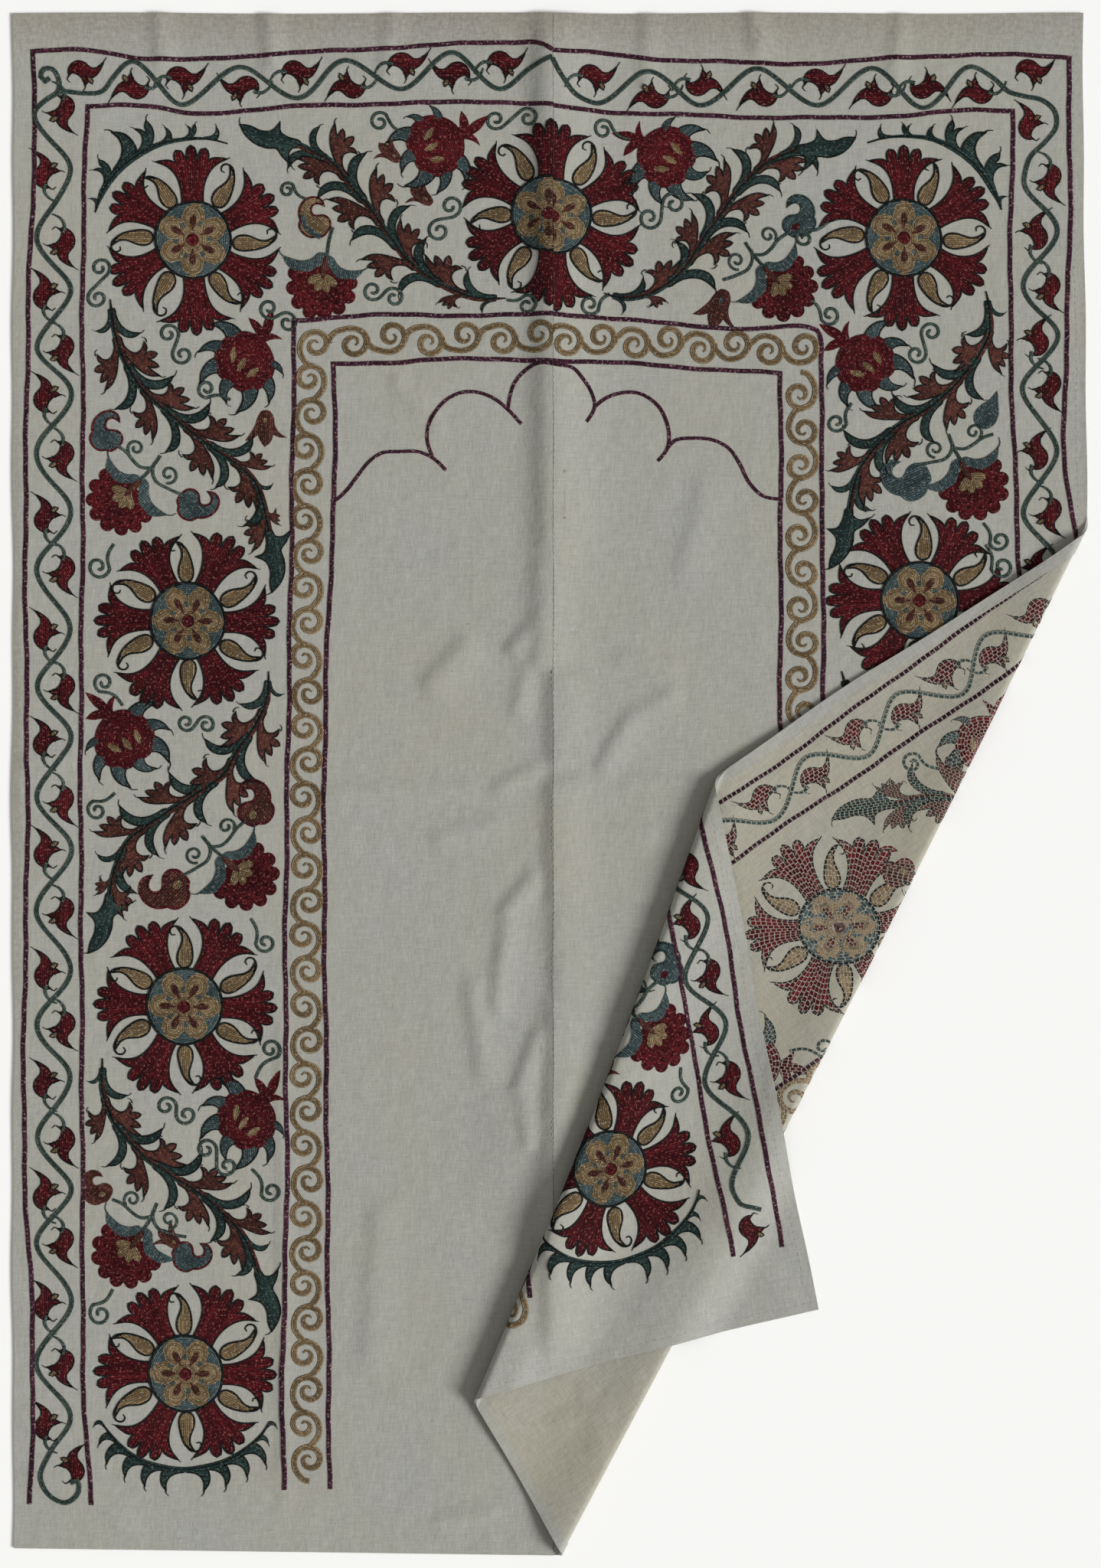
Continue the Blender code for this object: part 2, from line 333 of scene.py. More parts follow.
def finish_piece(name, mesh, materials):
    """Turns a flat bmesh into a piece of the lying cloth."""
    data = bpy.data.meshes.new(name)
    mesh.to_mesh(data)
    mesh.free()
    if not data.uv_layers:
        flat_uv(data)
    set_down(data)
    for material in materials:
        data.materials.append(material)
    data.shade_smooth()
    data.set_sharp_from_angle(angle=math.radians(60))
    piece = bpy.data.objects.new(name, data)
    bpy.context.scene.collection.objects.link(piece)
    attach(piece, "root")
    return piece


def node(tree, kind, links=(), **settings):
    """Adds a shader node, sets its fields, then its inputs by name or number."""
    made = tree.nodes.new("ShaderNode" + kind)
    for field, value in settings.items():
        setattr(made, field, value)
    for socket, value in dict(links).items():
        if isinstance(value, bpy.types.NodeSocket):
            tree.links.new(value, made.inputs[socket])
        else:
            made.inputs[socket].default_value = value
    return made


def ramp(tree, factor, stops):
    """A colour ramp through (position, colour) stops."""
    made = node(tree, "ValToRGB", {"Fac": factor})
    points = made.color_ramp.elements
    while len(points) < len(stops):
        points.new(0.5)
    for point, (position, colour) in zip(points, stops):
        point.position = position
        point.color = (*colour, 1.0) if len(colour) == 3 else colour
    return made.outputs["Color"]


def mixed(tree, factor, one, other, blend="MIX"):
    made = node(tree, "Mix", {0: factor, 6: one, 7: other}, data_type="RGBA", blend_type=blend)
    return made.outputs[2]


# How often the yarn, its slubs and its flecks change, along X and Y of the cloth
WARP, WEFT = (1150.0, 90.0, 1.0), (70.0, 1250.0, 1.0)
LONG_SLUBS, CROSS_SLUBS = (330.0, 26.0, 1.0), (30.0, 360.0, 1.0)
FLECKS = (420.0, 420.0, 1.0)

# Marks on the cloth, in mm: place, size along X and Y, and strength
Stain = namedtuple("Stain", "x y wide high strength")
STAINS = (
    Stain(13.5, 294, 4.6, 5.2, 0.9),
    Stain(13.5, 250, 4.2, 3.8, 0.9),
    Stain(13.4, 266, 1.4, 50, 0.5),
    Stain(-77, 151, 6, 3, 0.7),
    Stain(46, 295, 42, 1.0, 0.20),
    Stain(196, 705, 9, 20, 0.40),
    Stain(-14, 705, 4, 26, 0.30),
    Stain(-40, -560, 16, 60, 0.35),
    Stain(120, 190, 1.8, 1.6, 0.8),
    Stain(-60, -330, 70, 160, 0.16),
    Stain(-250, -640, 160, 60, 0.10),
    Stain(-60, 735, 2400, 110, 0.55),
    Stain(-502, 100, 16, 900, 0.40),
    Stain(504, 400, 14, 500, 0.30),
)


def cotton(name, light, dark, rust=(0.12, 0.07, 0.035)):
    """Plain hand-woven cotton: uneven yarn both ways, nubs, toning and marks."""
    material = bpy.data.materials.new(name)
    material.use_nodes = True
    tree = material.node_tree
    shader = tree.nodes["Principled BSDF"]
    place = node(tree, "UVMap", uv_map="cloth").outputs["UV"]

    def noise(scale, detail=2.0, rough=0.5):
        stretched = node(tree, "Mapping", {"Vector": place, "Scale": scale})
        made = node(tree, "TexNoise", {"Vector": stretched.outputs["Vector"], "Scale": 1.0,
                                       "Detail": detail, "Roughness": rough})
        return made.outputs["Fac"]

    warp, weft = noise(WARP), noise(WEFT)
    yarns = node(tree, "Math", {0: warp, 1: weft}, operation="ADD").outputs[0]
    yarns = node(tree, "Math", {0: yarns, 1: 0.5}, operation="MULTIPLY").outputs[0]
    slubs = node(tree, "Math", {0: noise(LONG_SLUBS), 1: noise(CROSS_SLUBS)},
                 operation="ADD").outputs[0]
    slubs = node(tree, "Math", {0: slubs, 1: 0.5}, operation="MULTIPLY").outputs[0]
    tone = noise((9.0, 6.5, 1.0), 5.0, 0.6)
    colour = mixed(tree, ramp(tree, yarns, ((0.34, (0.0,) * 3), (0.66, (1.0,) * 3))), dark, light)
    colour = mixed(tree, ramp(tree, tone, ((0.35, (0.0,) * 3), (0.75, (0.55,) * 3))), colour,
                   tuple(a * b for a, b in zip(light, (0.93, 0.87, 0.72, 1.0))))
    slubs = ramp(tree, slubs, ((0.0, (0.0,) * 3), (1.0, (1.0,) * 3)))
    slubs = mixed(tree, slubs, (0.84, 0.84, 0.84, 1.0), (1.16, 1.16, 1.16, 1.0))
    colour = mixed(tree, 1.0, colour, slubs, "MULTIPLY")
    fleck = noise(FLECKS, 1.0)
    fleck = ramp(tree, fleck, ((0.72, (0.0,) * 3), (0.80, (0.45,) * 3)))
    colour = mixed(tree, fleck, colour, (*rust, 1.0))
    ragged = noise((230.0, 230.0, 1.0), 3.0, 0.7)
    for stain in STAINS:
        at = node(tree, "Mapping", {
            "Vector": place, "Location": (-stain.x / stain.wide, -stain.y / stain.high, 0.0),
            "Scale": (1.0 / (stain.wide * MM), 1.0 / (stain.high * MM), 0.0)}).outputs["Vector"]
        far = node(tree, "VectorMath", {0: at}, operation="LENGTH").outputs["Value"]
        far = node(tree, "Math", {0: far, 1: ragged}, operation="ADD").outputs[0]
        share = ramp(tree, far, ((0.35, (stain.strength,) * 3), (0.98, (0.0,) * 3)))
        colour = mixed(tree, share, colour, (*rust, 1.0))
    tree.links.new(colour, shader.inputs["Base Color"])

    slack = noise((60.0, 45.0, 1.0), 4.0, 0.62)
    fine = node(tree, "Bump", {"Strength": 0.55, "Distance": 0.00035, "Height": yarns})
    soft = node(tree, "Bump", {"Strength": 0.8, "Distance": 0.0016, "Height": slack,
                               "Normal": fine.outputs["Normal"]})
    tree.links.new(soft.outputs["Normal"], shader.inputs["Normal"])
    shader.inputs["Roughness"].default_value = 0.93
    shader.inputs["Specular IOR Level"].default_value = 0.25
    shader.inputs["Sheen Weight"].default_value = 0.12
    shader.inputs["Sheen Roughness"].default_value = 0.6
    return material


COTTON_FACE = cotton("cotton_face", (0.352, 0.356, 0.330, 1.0), (0.262, 0.260, 0.236, 1.0))
COTTON_BACK = cotton("cotton_reverse", (0.360, 0.352, 0.302, 1.0), (0.268, 0.260, 0.215, 1.0))


def left_outline(across, up):
    foot = LEFT_FOOT_Y + (SEAM_FOOT_Y - LEFT_FOOT_Y) * across
    side = LEFT_X + 0.7 * MM * np.sin(up * 23.0) + 0.5 * MM * np.sin(up * 61.0)
    top = TOP_Y + 0.7 * MM * np.sin(across * 9.0)
    x = side + (SEAM_X - SEAM_GAP / 2 - side) * across
    return np.column_stack([x, foot + (top - foot) * up])


left_wide = SEAM_X - LEFT_X
cloth_high = TOP_Y - SEAM_FOOT_Y
left_mesh = flat_grid(round(left_wide / CELL_WIDE), round(cloth_high / CELL_HIGH), left_outline)
thicken(left_mesh, -CLOTH / 2, CLOTH / 2)
left_cloth = finish_piece("left_cloth", left_mesh, (COTTON_FACE, COTTON_BACK))
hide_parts("left_panel")

# Right panel: the other loom width, cut from the same cotton. Its lower corner
# is turned in along a long slanting fold from the foot of the seam, then out
# again, so that it shows its reverse in one band and its face in the next.
ROLL_STEPS = 12


def hem_x(y):
    return (RIGHT_TOP_X + LEAN * smooth((LEAN_FROM - y) / (LEAN_FROM - LEAN_TO))
            + SWELL * smooth((SWELL_FROM - y) / (SWELL_FROM - SWELL_TO))
            - NARROWING * smooth((NARROWING_FROM - y) / (NARROWING_FROM - NARROWING_TO)))


def right_outline(across, up):
    foot = SEAM_FOOT_Y + (RIGHT_FOOT_Y - SEAM_FOOT_Y) * across
    foot = foot + FOOT_HEM_ARCH * np.sin(math.pi * across)
    top = TOP_Y - 0.6 * MM * np.sin(across * 11.0)
    y = foot + (top - foot) * up
    side = hem_x(y) + 0.5 * MM * np.sin(up * 57.0)
    left = SEAM_X + SEAM_GAP / 2
    return np.column_stack([left + (side - left) * across, y])


def cut_at_folds(mesh, steps):
    """Lines of edges along both rolls, so that they turn smoothly."""
    for turn in range(steps + 1):
        share = math.pi * turn / steps
        ends = FOLD_ONE + (share - 1.0) * ROLL_ONE[:, None] * ONE_OUT
        cut(mesh, ends[0], ends[1] - ends[0])
        cut(mesh, TWO_FLAT[0] + share * ROLL_TWO * TWO_FLAT_OUT, TWO_FLAT_ALONG)


right_wide = RIGHT_TOP_X - SEAM_X
right_mesh = flat_grid(round(right_wide / CELL_WIDE), round(cloth_high / CELL_HIGH),
                       right_outline)
cut_at_folds(right_mesh, ROLL_STEPS)
thicken(right_mesh, -CLOTH / 2, CLOTH / 2)
right_cloth = finish_piece("right_cloth", right_mesh, (COTTON_FACE, COTTON_BACK))
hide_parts("right_panel")
right_flat = (hem_x(np.array([-0.3]))[0] - SEAM_X, cloth_high)

# Seam and hems: the selvages of the two widths are laid together under the
# joint and whipped; the foot and the right side have a narrow hem, turned to
# the reverse and run down by hand.
SEAM_WIDE, HEM_WIDE = 5.2 * MM, 10.0 * MM
TURNING_LOW, TURNING_HIGH = -CLOTH / 2 - 1.0 * MM, -CLOTH / 2 - 0.08 * MM


def seam_outline(across, up):
    x = SEAM_X + SEAM_WIDE * (across - 0.5)
    return np.column_stack([x, SEAM_FOOT_Y + 2.0 * MM + (cloth_high - 4.0 * MM) * up])


def foot_hem_outline(across, up):
    return right_outline(across, up * HEM_WIDE / cloth_high)


def side_hem_outline(across, up):
    return right_outline(1.0 - across * HEM_WIDE / right_wide, up)


turnings = []
for name, columns, rows, outline in (
        ("seam_allowance", 2, 320, seam_outline), ("foot_hem", 110, 3, foot_hem_outline),
        ("side_hem", 3, 320, side_hem_outline)):
    turning_mesh = flat_grid(columns, rows, outline)
    cut_at_folds(turning_mesh, ROLL_STEPS)
    thicken(turning_mesh, TURNING_LOW, TURNING_HIGH)
    turnings.append(finish_piece(name, turning_mesh, (COTTON_FACE, COTTON_FACE)))
turnings[:1]
turnings[1:]

# Border lines: four rounds of narrow maroon chain stitch that part the fields.
# All the needlework is silk chained through both panels with a hook, in rows
# close enough to hide the cotton; it shows on the reverse as rows of dashes.
PROUD, LEVEL_RISE, PILLOW, PILLOW_EDGE = 0.42, 0.20, 0.38, 3.0
BACK_PROUD, BACK_RISE = 0.16, 0.04
PATH_STEP, STITCH_CELL = 3.0, 7.5
ROW_WIDE, LINK_LONG, BACK_SCALE = 1.9, 3.2, 1.55
WORK_FOLD_STEPS = 7
LINE_WIDE, PILLOW_FROM, LEAST_MITRE = 4.2, 2.5, 0.7
STRAND_BOW, STRAND_EDGE, STRAND_MIDDLE = 0.27, 0.25, 0.04
LINK_TINT, ROW_TINT, MOTIF_TINT = 0.30, 0.34, 0.08
# Colour factors for painted shade in the hollows between strands and a painted highlight on their
# crowns
HOLLOW_SHADE, STRAND_HIGHLIGHT = 0.16, 1.30
# The shares of a link and of a row at which a dash ends, and is in full
DASH_LONG, DASH_WIDE = (0.87, 0.79), (0.47, 0.40)
SHARP = True
OUTER_LEFT = (
    (-488.6, -677.4), (-486.5, -497), (-492.5, -390), (-491, 0), (-493, 217), (-489, 486),
    (-484, 638), (-486.9, 688, SHARP), (-429.7, 690.3), (-385, 682.1), (-285.9, 684.7),
    (-186.7, 690.3), (-37.9, 697.3), (-11.4, 697.3), (2.7, 689.6))
OUTER_RIGHT = (
    (3.3, 688.8), (50.5, 686.5), (100, 681.6), (165.9, 678.9), (264.8, 678.3), (330.8, 683.2),
    (413.2, 685.8), (487.4, 683.2, SHARP), (488.4, 507), (485, 400), (486, 280), (493, 237),
    (497.4, 71), (496, -137), (502, -300), (499, -441), (498, -559), (495.4, -627.2))
SECOND_LEFT = (
    (-431.2, -676.1), (-437.8, -575), (-439, -406), (-440, -200), (-441, 20), (-439, 260),
    (-438, 540), (-434.6, 637.4, SHARP), (-375.1, 636.8), (-332.2, 631.1), (-285.9, 632.5),
    (-226.3, 638.4), (-153.6, 639.1), (-54.4, 641.7), (2.7, 637.2))
SECOND_RIGHT = (
    (3.3, 636.2), (67, 631.4), (133, 628.8), (231.9, 626.5), (281.3, 626.5), (330.8, 628.8),
    (380.2, 632.8), (435.6, 632.8, SHARP), (433, 507), (433.5, 400), (437.9, 278),
    (440.4, 202), (442, 71), (445, -126), (450, -300), (449, -450), (449.1, -625.4))
THIRD_LEFT = (
    (-250, -663.1), (-251.3, -562), (-247.4, -400), (-248.7, -166), (-246.4, 17), (-243, 217),
    (-240, 436, SHARP), (-173.3, 440.6), (-87.4, 440.9), (2.7, 441.3))
THIRD_RIGHT = (
    (3.3, 440.9), (58.1, 438.2), (124.2, 431.6), (190.4, 428.3), (243, 428.6), (250, 426.5),
    (253.6, 419), (254.6, 396), (256.6, 350), (255, 305), (257, 200), (256.7, 82), (260, -100),
    (254, -290), (256, -480), (252, -621))
FOURTH_LEFT = (
    (-207, -663.1), (-209, -400), (-208.5, 150), (-202.7, 267.4), (-203.1, 394.6, SHARP),
    (-140.3, 396.9), (-117.1, 399.6), (-41.1, 398.6), (2.7, 397.9))
FOURTH_RIGHT = (
    (3.3, 397.9), (58.1, 396.3), (124.2, 392), (190.4, 387.7), (216.8, 386, SHARP), (217, 200),
    (216.5, 48), (219, -200), (216, -400), (214, -640))


def curve(points, closed=False, step=PATH_STEP):
    """Places every few mm along a smooth line through the given points. The
    line turns sharply at a point that has SHARP beside its X and Y."""
    spots = np.array([point[:2] for point in points], dtype=float)
    count = len(spots)
    ways = np.roll(spots, -1, axis=0) - spots
    gaps = np.linalg.norm(ways, axis=1)
    ways = ways / gaps[:, None]
    free = [len(point) > 2 or (not closed and at in (0, count - 1))
            for at, point in enumerate(points)]
    slopes = (np.roll(ways, 1, axis=0) * gaps[:, None] + ways * np.roll(gaps, 1)[:, None]) / (
        gaps + np.roll(gaps, 1))[:, None]
    made = []
    for one in range(count if closed else count - 1):
        two = (one + 1) % count
        leave = None if free[one] else slopes[one]
        reach = None if free[two] else slopes[two]
        if leave is None:
            leave = ways[one] if reach is None else 1.5 * ways[one] - 0.5 * reach
        if reach is None:
            reach = 1.5 * ways[one] - 0.5 * leave
        steps = max(1, round(gaps[one] / step))
        share = np.arange(steps)[:, None] / steps
        made.append((2 * share ** 3 - 3 * share ** 2 + 1) * spots[one]
                    + (share ** 3 - 2 * share ** 2 + share) * gaps[one] * leave
                    + (3 * share ** 2 - 2 * share ** 3) * spots[two]
                    + (share ** 3 - share ** 2) * gaps[one] * reach)
    if not closed:
        made.append(spots[-1:])
    return np.concatenate(made)


def new_work():
    """A flat mesh in mm. Its Z is the height over the fill's edge, and each
    point's grain is its place across and along the rows of stitches."""
    mesh = bmesh.new()
    mesh.verts.layers.float_vector.new("grain")
    return mesh


def kept(mesh):
    data = bpy.data.meshes.new("stitches")
    mesh.to_mesh(data)
    mesh.free()
    return data


def strip(path, width, closed=False, level=1, rows=0):
    """A run of rows along a path, of one width or of a width for each point."""
    spots = np.concatenate([path, path[:1]]) if closed else path
    count = len(spots)
    width = np.broadcast_to(width, count)
    gaps = np.linalg.norm(np.diff(spots, axis=0), axis=1)
    ways = np.diff(spots, axis=0) / gaps[:, None]
    before = np.concatenate([ways[-1:] if closed else ways[:1], ways])
    after = np.concatenate([ways, ways[:1] if closed else ways[-1:]])
    sides = np.column_stack([-before[:, 1] - after[:, 1], before[:, 0] + after[:, 0]])
    sides /= np.maximum(np.linalg.norm(sides, axis=1), 1e-6)[:, None]
    square = np.maximum(np.abs(sides[:, 1] * after[:, 0] - sides[:, 0] * after[:, 1]),
                        LEAST_MITRE)
    sides = sides / square[:, None]
    along = np.concatenate([[0.0], np.cumsum(gaps)])
    wide = float(np.max(width)) > PILLOW_FROM
    rows = rows or max(1, round(float(np.mean(width)) / ROW_WIDE))
    mesh = new_work()
    grain = mesh.verts.layers.float_vector["grain"]
    bmesh.ops.create_grid(mesh, x_segments=count - 1, y_segments=2 if wide else 1, size=0.5)
    for vertex in mesh.verts:
        at = round((vertex.co.x + 0.5) * (count - 1))
        across = vertex.co.y + 0.5
        place = spots[at] + sides[at] * (across - 0.5) * width[at]
        crown = PILLOW * 0.8 if wide and 0.2 < across < 0.8 else 0.0
        vertex[grain] = (across * rows * ROW_WIDE, along[at], 0.0)
        vertex.co = (place[0], place[1], level * LEVEL_RISE + crown)
    return kept(mesh)


def moved(data, x, y, turn, size, flip):
    """A copy of a flat shape: scaled, mirrored, turned and moved."""
    copy = data.copy()
    copy.transform(Matrix.Translation((x, y, 0.0)) @ Matrix.Rotation(math.radians(turn), 4, "Z")
                   @ Matrix.Diagonal((size, -size if flip else size, 1.0, 1.0)))
    return copy


def sew(work, thread, data, x=0.0, y=0.0, turn=0.0, size=1.0, flip=False):
    """Adds a flat shape to the work in one thread. Each motif's thread is a
    little lighter or darker than the next one's."""
    copy = moved(data, x, y, turn, size, flip)
    grains = np.zeros(len(copy.vertices) * 3)
    copy.attributes["grain"].data.foreach_get("vector", grains)
    grains[2::3] = math.sin(x * 12.9 + y * 7.3)
    copy.attributes["grain"].data.foreach_set("vector", grains)
    work[thread].from_mesh(copy)
    bpy.data.meshes.remove(copy)


def hand_drawn(places):
    """Shifts places a little, because the pattern was drawn on by hand."""
    x, y = places[:, 0], places[:, 1]
    return np.column_stack([x + 0.7 * np.sin(y / 23.0 + x / 31.0) + 0.25 * np.sin(y / 6.1 + 1.0),
                            y + 0.7 * np.sin(x / 21.0 - y / 27.0) + 0.25 * np.sin(x / 6.4 + 2.0)])


def finish_work(name, work):
    """Turns each thread of a group of motifs into closed stitching that goes
    right through the cloth, face and reverse."""
    for thread, mesh in work.items():
        places = hand_drawn(np.array([vertex.co for vertex in mesh.verts])[:, :2])
        for vertex, place in zip(mesh.verts, places):
            vertex.co = (place[0] * MM, place[1] * MM, vertex.co.z)
        cut_at_folds(mesh, WORK_FOLD_STEPS)
        lower = mesh.faces[:]
        raised = bmesh.ops.extrude_face_region(mesh, geom=lower, use_keep_orig=True)["geom"]
        upper = {part for part in raised if isinstance(part, bmesh.types.BMVert)}
        for vertex in mesh.verts:
            height = vertex.co.z
            if vertex in upper:
                vertex.co.z = CLOTH / 2 + (PROUD + height) * MM
            else:
                vertex.co.z = -CLOTH / 2 - (BACK_PROUD + height / LEVEL_RISE * BACK_RISE) * MM
        for face in lower:
            face.material_index = 1
        bmesh.ops.recalc_face_normals(mesh, faces=mesh.faces)
        finish_piece(f"{name}_{thread}", mesh, SILKS[thread])


def chained(tree, scale):
    """The look of rows of chain stitch, from each point's place along them:
    how high the silk stands, a tint for each link, one for each row and one
    for each motif, and the place along and across the link."""
    grain = node(tree, "Attribute", attribute_name="grain").outputs["Vector"]
    parts = node(tree, "SeparateXYZ", {"Vector": grain}).outputs

    def maths(kind, one, two=0.0, three=0.0):
        return node(tree, "Math", {0: one, 1: two, 2: three}, operation=kind).outputs[0]

    across = maths("DIVIDE", parts["X"], ROW_WIDE * scale)
    row = maths("FLOOR", across)
    shift = node(tree, "TexWhiteNoise", {"W": row}, noise_dimensions="1D").outputs["Value"]
    along = maths("ADD", maths("DIVIDE", parts["Y"], LINK_LONG * scale), shift)
    link = maths("FLOOR", along)
    cell = node(tree, "CombineXYZ", {"X": row, "Y": link, "Z": 0.0}).outputs["Vector"]
    tint = node(tree, "TexWhiteNoise", {"Vector": cell}, noise_dimensions="2D").outputs["Value"]
    aside = maths("ABSOLUTE", maths("SUBTRACT", maths("FRACT", across), 0.5))
    part = maths("FRACT", along)
    bow = maths("MULTIPLY", maths("SINE", maths("MULTIPLY", part, math.pi)), STRAND_BOW)
    off = maths("ABSOLUTE", maths("SUBTRACT", aside, bow))
    height = node(tree, "MapRange", {"Value": off, "From Min": STRAND_EDGE,
                                     "From Max": STRAND_MIDDLE},
                  interpolation_type="SMOOTHSTEP").outputs["Result"]
    return height, tint, shift, parts["Z"], part, aside


def silk(name, deep, light, worn_and_glint, hollow=HOLLOW_SHADE):
    """Floss silk chained in rows: its face, and its reverse of open dashes.
    The colour is painted darker in the hollows between strands, as painted shade, and lighter on
    their crowns, as a painted highlight. Hollow is the factor kept in the hollows; above one, as for
    the maroon, it is the cotton showing through the links."""
    made = []
    for side in ("face", "reverse"):
        material = bpy.data.materials.new(f"{name}_silk_{side}")
        material.use_nodes = True
        tree = material.node_tree
        shader = tree.nodes["Principled BSDF"]
        height, tint, shift, tone, part, aside = chained(tree, 1.0 if side == "face" else BACK_SCALE)
        place = node(tree, "UVMap", uv_map="cloth").outputs["UV"]
        patch = node(tree, "TexNoise", {"Vector": place, "Scale": 38.0, "Detail": 3.0,
                                        "Roughness": 0.6}).outputs["Fac"]
        shade = patch
        for share, weight in ((tint, LINK_TINT), (shift, ROW_TINT), (tone, MOTIF_TINT)):
            shade = node(tree, "Math", {0: share, 1: weight, 2: shade},
                         operation="MULTIPLY_ADD").outputs[0]
        dyed = ramp(tree, shade, ((0.55, tuple(0.8 * value for value in deep)), (0.95, tuple(
            (a + b) / 2 for a, b in zip(deep, light))), (1.0, light)))
        # Painted highlight: small flecks of a lighter colour stand in for glints off the floss,
        # mixed with a few flecks of worn thread
        glint = node(tree, "TexNoise", {"Vector": place, "Scale": 400.0, "Detail": 2.0})
        glint = ramp(tree, glint.outputs["Fac"], ((0.56, (0.0,) * 3), (0.70, (1.0,) * 3)))
        dyed = mixed(tree, glint, dyed, (*worn_and_glint, 1.0))
        # Painted shade and highlight: the colour is multiplied down in the hollows and up on the
        # crowns, by how high the silk stands
        strand_shade_and_highlight = mixed(tree, height, (hollow, hollow, hollow, 1.0),
                    (STRAND_HIGHLIGHT, STRAND_HIGHLIGHT, STRAND_HIGHLIGHT, 1.0))
        colour = mixed(tree, 1.0, dyed, strand_shade_and_highlight, "MULTIPLY")
        if side == "reverse":
            dash, thin = (
                node(tree, "MapRange", {"Value": value, "From Min": end, "From Max": full})
                for value, (end, full) in ((part, DASH_LONG), (aside, DASH_WIDE)))
            share = node(tree, "Math", {0: dash.outputs["Result"], 1: thin.outputs["Result"]},
                         operation="MULTIPLY").outputs[0]
            colour = mixed(tree, share, (0.30, 0.285, 0.24, 1.0), dyed)
        tree.links.new(colour, shader.inputs["Base Color"])
        bump = node(tree, "Bump", {"Strength": 0.8, "Distance": 0.0005, "Height": height})
        tree.links.new(bump.outputs["Normal"], shader.inputs["Normal"])
        shader.inputs["Roughness"].default_value = 0.70
        shader.inputs["Specular IOR Level"].default_value = 0.09
        made.append(material)
    return tuple(made)


# Each silk's third colour is for its painted glints and worn flecks; the number after maroon's is
# its hollow
SILKS = {
    "maroon": silk("maroon", (0.012, 0.003, 0.007), (0.034, 0.010, 0.018), (0.16, 0.10, 0.11), 1.9),
    "dark": silk("dark", (0.004, 0.006, 0.006), (0.010, 0.012, 0.012), (0.04, 0.04, 0.035)),
    "red": silk("red", (0.038, 0.002, 0.004), (0.104, 0.008, 0.012), (0.25, 0.08, 0.07)),
    "gold": silk("gold", (0.140, 0.094, 0.046), (0.272, 0.192, 0.104), (0.36, 0.29, 0.19)),
    "green": silk("green", (0.008, 0.022, 0.021), (0.030, 0.058, 0.052), (0.11, 0.14, 0.12)),
    "sage": silk("sage", (0.024, 0.042, 0.036), (0.062, 0.090, 0.078), (0.14, 0.16, 0.14)),
    "blue": silk("blue", (0.029, 0.050, 0.054), (0.070, 0.102, 0.104), (0.17, 0.19, 0.18)),
    "brown": silk("brown", (0.044, 0.013, 0.010), (0.112, 0.037, 0.028), (0.20, 0.10, 0.07)),
    "cotton": (COTTON_FACE, COTTON_BACK),
}
SEAM_STITCH, SEAM_SPACING, TACK_SPACING = 3.4, 6.1, 7.0

line_work = defaultdict(new_work)
for points in (OUTER_LEFT, OUTER_RIGHT, SECOND_LEFT, SECOND_RIGHT,
               THIRD_LEFT, THIRD_RIGHT, FOURTH_LEFT, FOURTH_RIGHT):
    sew(line_work, "maroon", strip(curve(points, step=5.0), LINE_WIDE, rows=1))
finish_work("border_lines", line_work)

stitch_work = defaultdict(new_work)
stitch = strip(np.array([[0.0, -SEAM_STITCH / 2], [0.5, SEAM_STITCH / 2]]), 0.7, level=-1)
tack = strip(np.array([[-1.2, 0.0], [1.2, 0.0]]), 0.6, level=-1)
for y in np.arange(SEAM_FOOT_Y / MM + 6.0, TOP_Y / MM - 4.0, SEAM_SPACING):
    sew(stitch_work, "cotton", stitch, SEAM_X / MM, y, 4.0 * math.sin(y))
for share in np.arange(0.02, 0.99, TACK_SPACING * MM / right_wide):
    x, y = foot_hem_outline(np.array([share]), np.array([0.9]))[0] / MM
    sew(stitch_work, "cotton", tack, x, y)
for share in np.arange(0.02, 0.99, TACK_SPACING * MM / cloth_high):
    x, y = side_hem_outline(np.array([0.9]), np.array([share]))[0] / MM
    sew(stitch_work, "cotton", tack, x, y, 90)
finish_work("hand_stitches", stitch_work)

# Arch: a niche head of five scallops in the same maroon chain, whose cusps run
# on into short spurs. It hangs from the innermost border line.
ARCH_WIDE = 3.2
ARCH_STRANDS = (
    ((-205, 266), (-202.1, 267), (-191.5, 276.3), (-181.6, 289.5), (-170, 304.4),
     (-158.4, 311.6), (-140.3, 312.6), (-123.7, 311.6), (-110.5, 306.7), (-97.3, 295.4)),
    ((-110.5, 308), (-114.5, 320.9), (-113.8, 334.1), (-107.2, 350.6), (-95.6, 362.2),
     (-84.1, 367.2), (-64.2, 367.2), (-51, 361.2), (-40.1, 352.3), (-27.5, 339.7)),
    ((-40.1, 354), (-37.8, 365.5), (-32.8, 378.7), (-22.9, 389.3), (-9.7, 395.9), (2.7, 395)),
    ((3.3, 395), (8.5, 394.3), (20.1, 392.6), (31.7, 380.4), (39.9, 367.2), (42.6, 356.6),
     (34.3, 339.7)),
    ((42.6, 354), (54.8, 363.2), (71.3, 367.8), (87.9, 366.2), (101.1, 357.2), (109.4, 342.4),
     (112.7, 330.8), (111, 315.9), (101.8, 304.4)),
    ((111, 315.9), (117.6, 322.5), (134.2, 325.2), (154, 322.5), (167.2, 315.9), (178.8, 301),
     (188.7, 282.9), (200.3, 271.3), (216.1, 268)),
)
arch_work = defaultdict(new_work)
for points in ARCH_STRANDS:
    sew(arch_work, "maroon", strip(curve(points), ARCH_WIDE, rows=1))
finish_work("arch", arch_work)

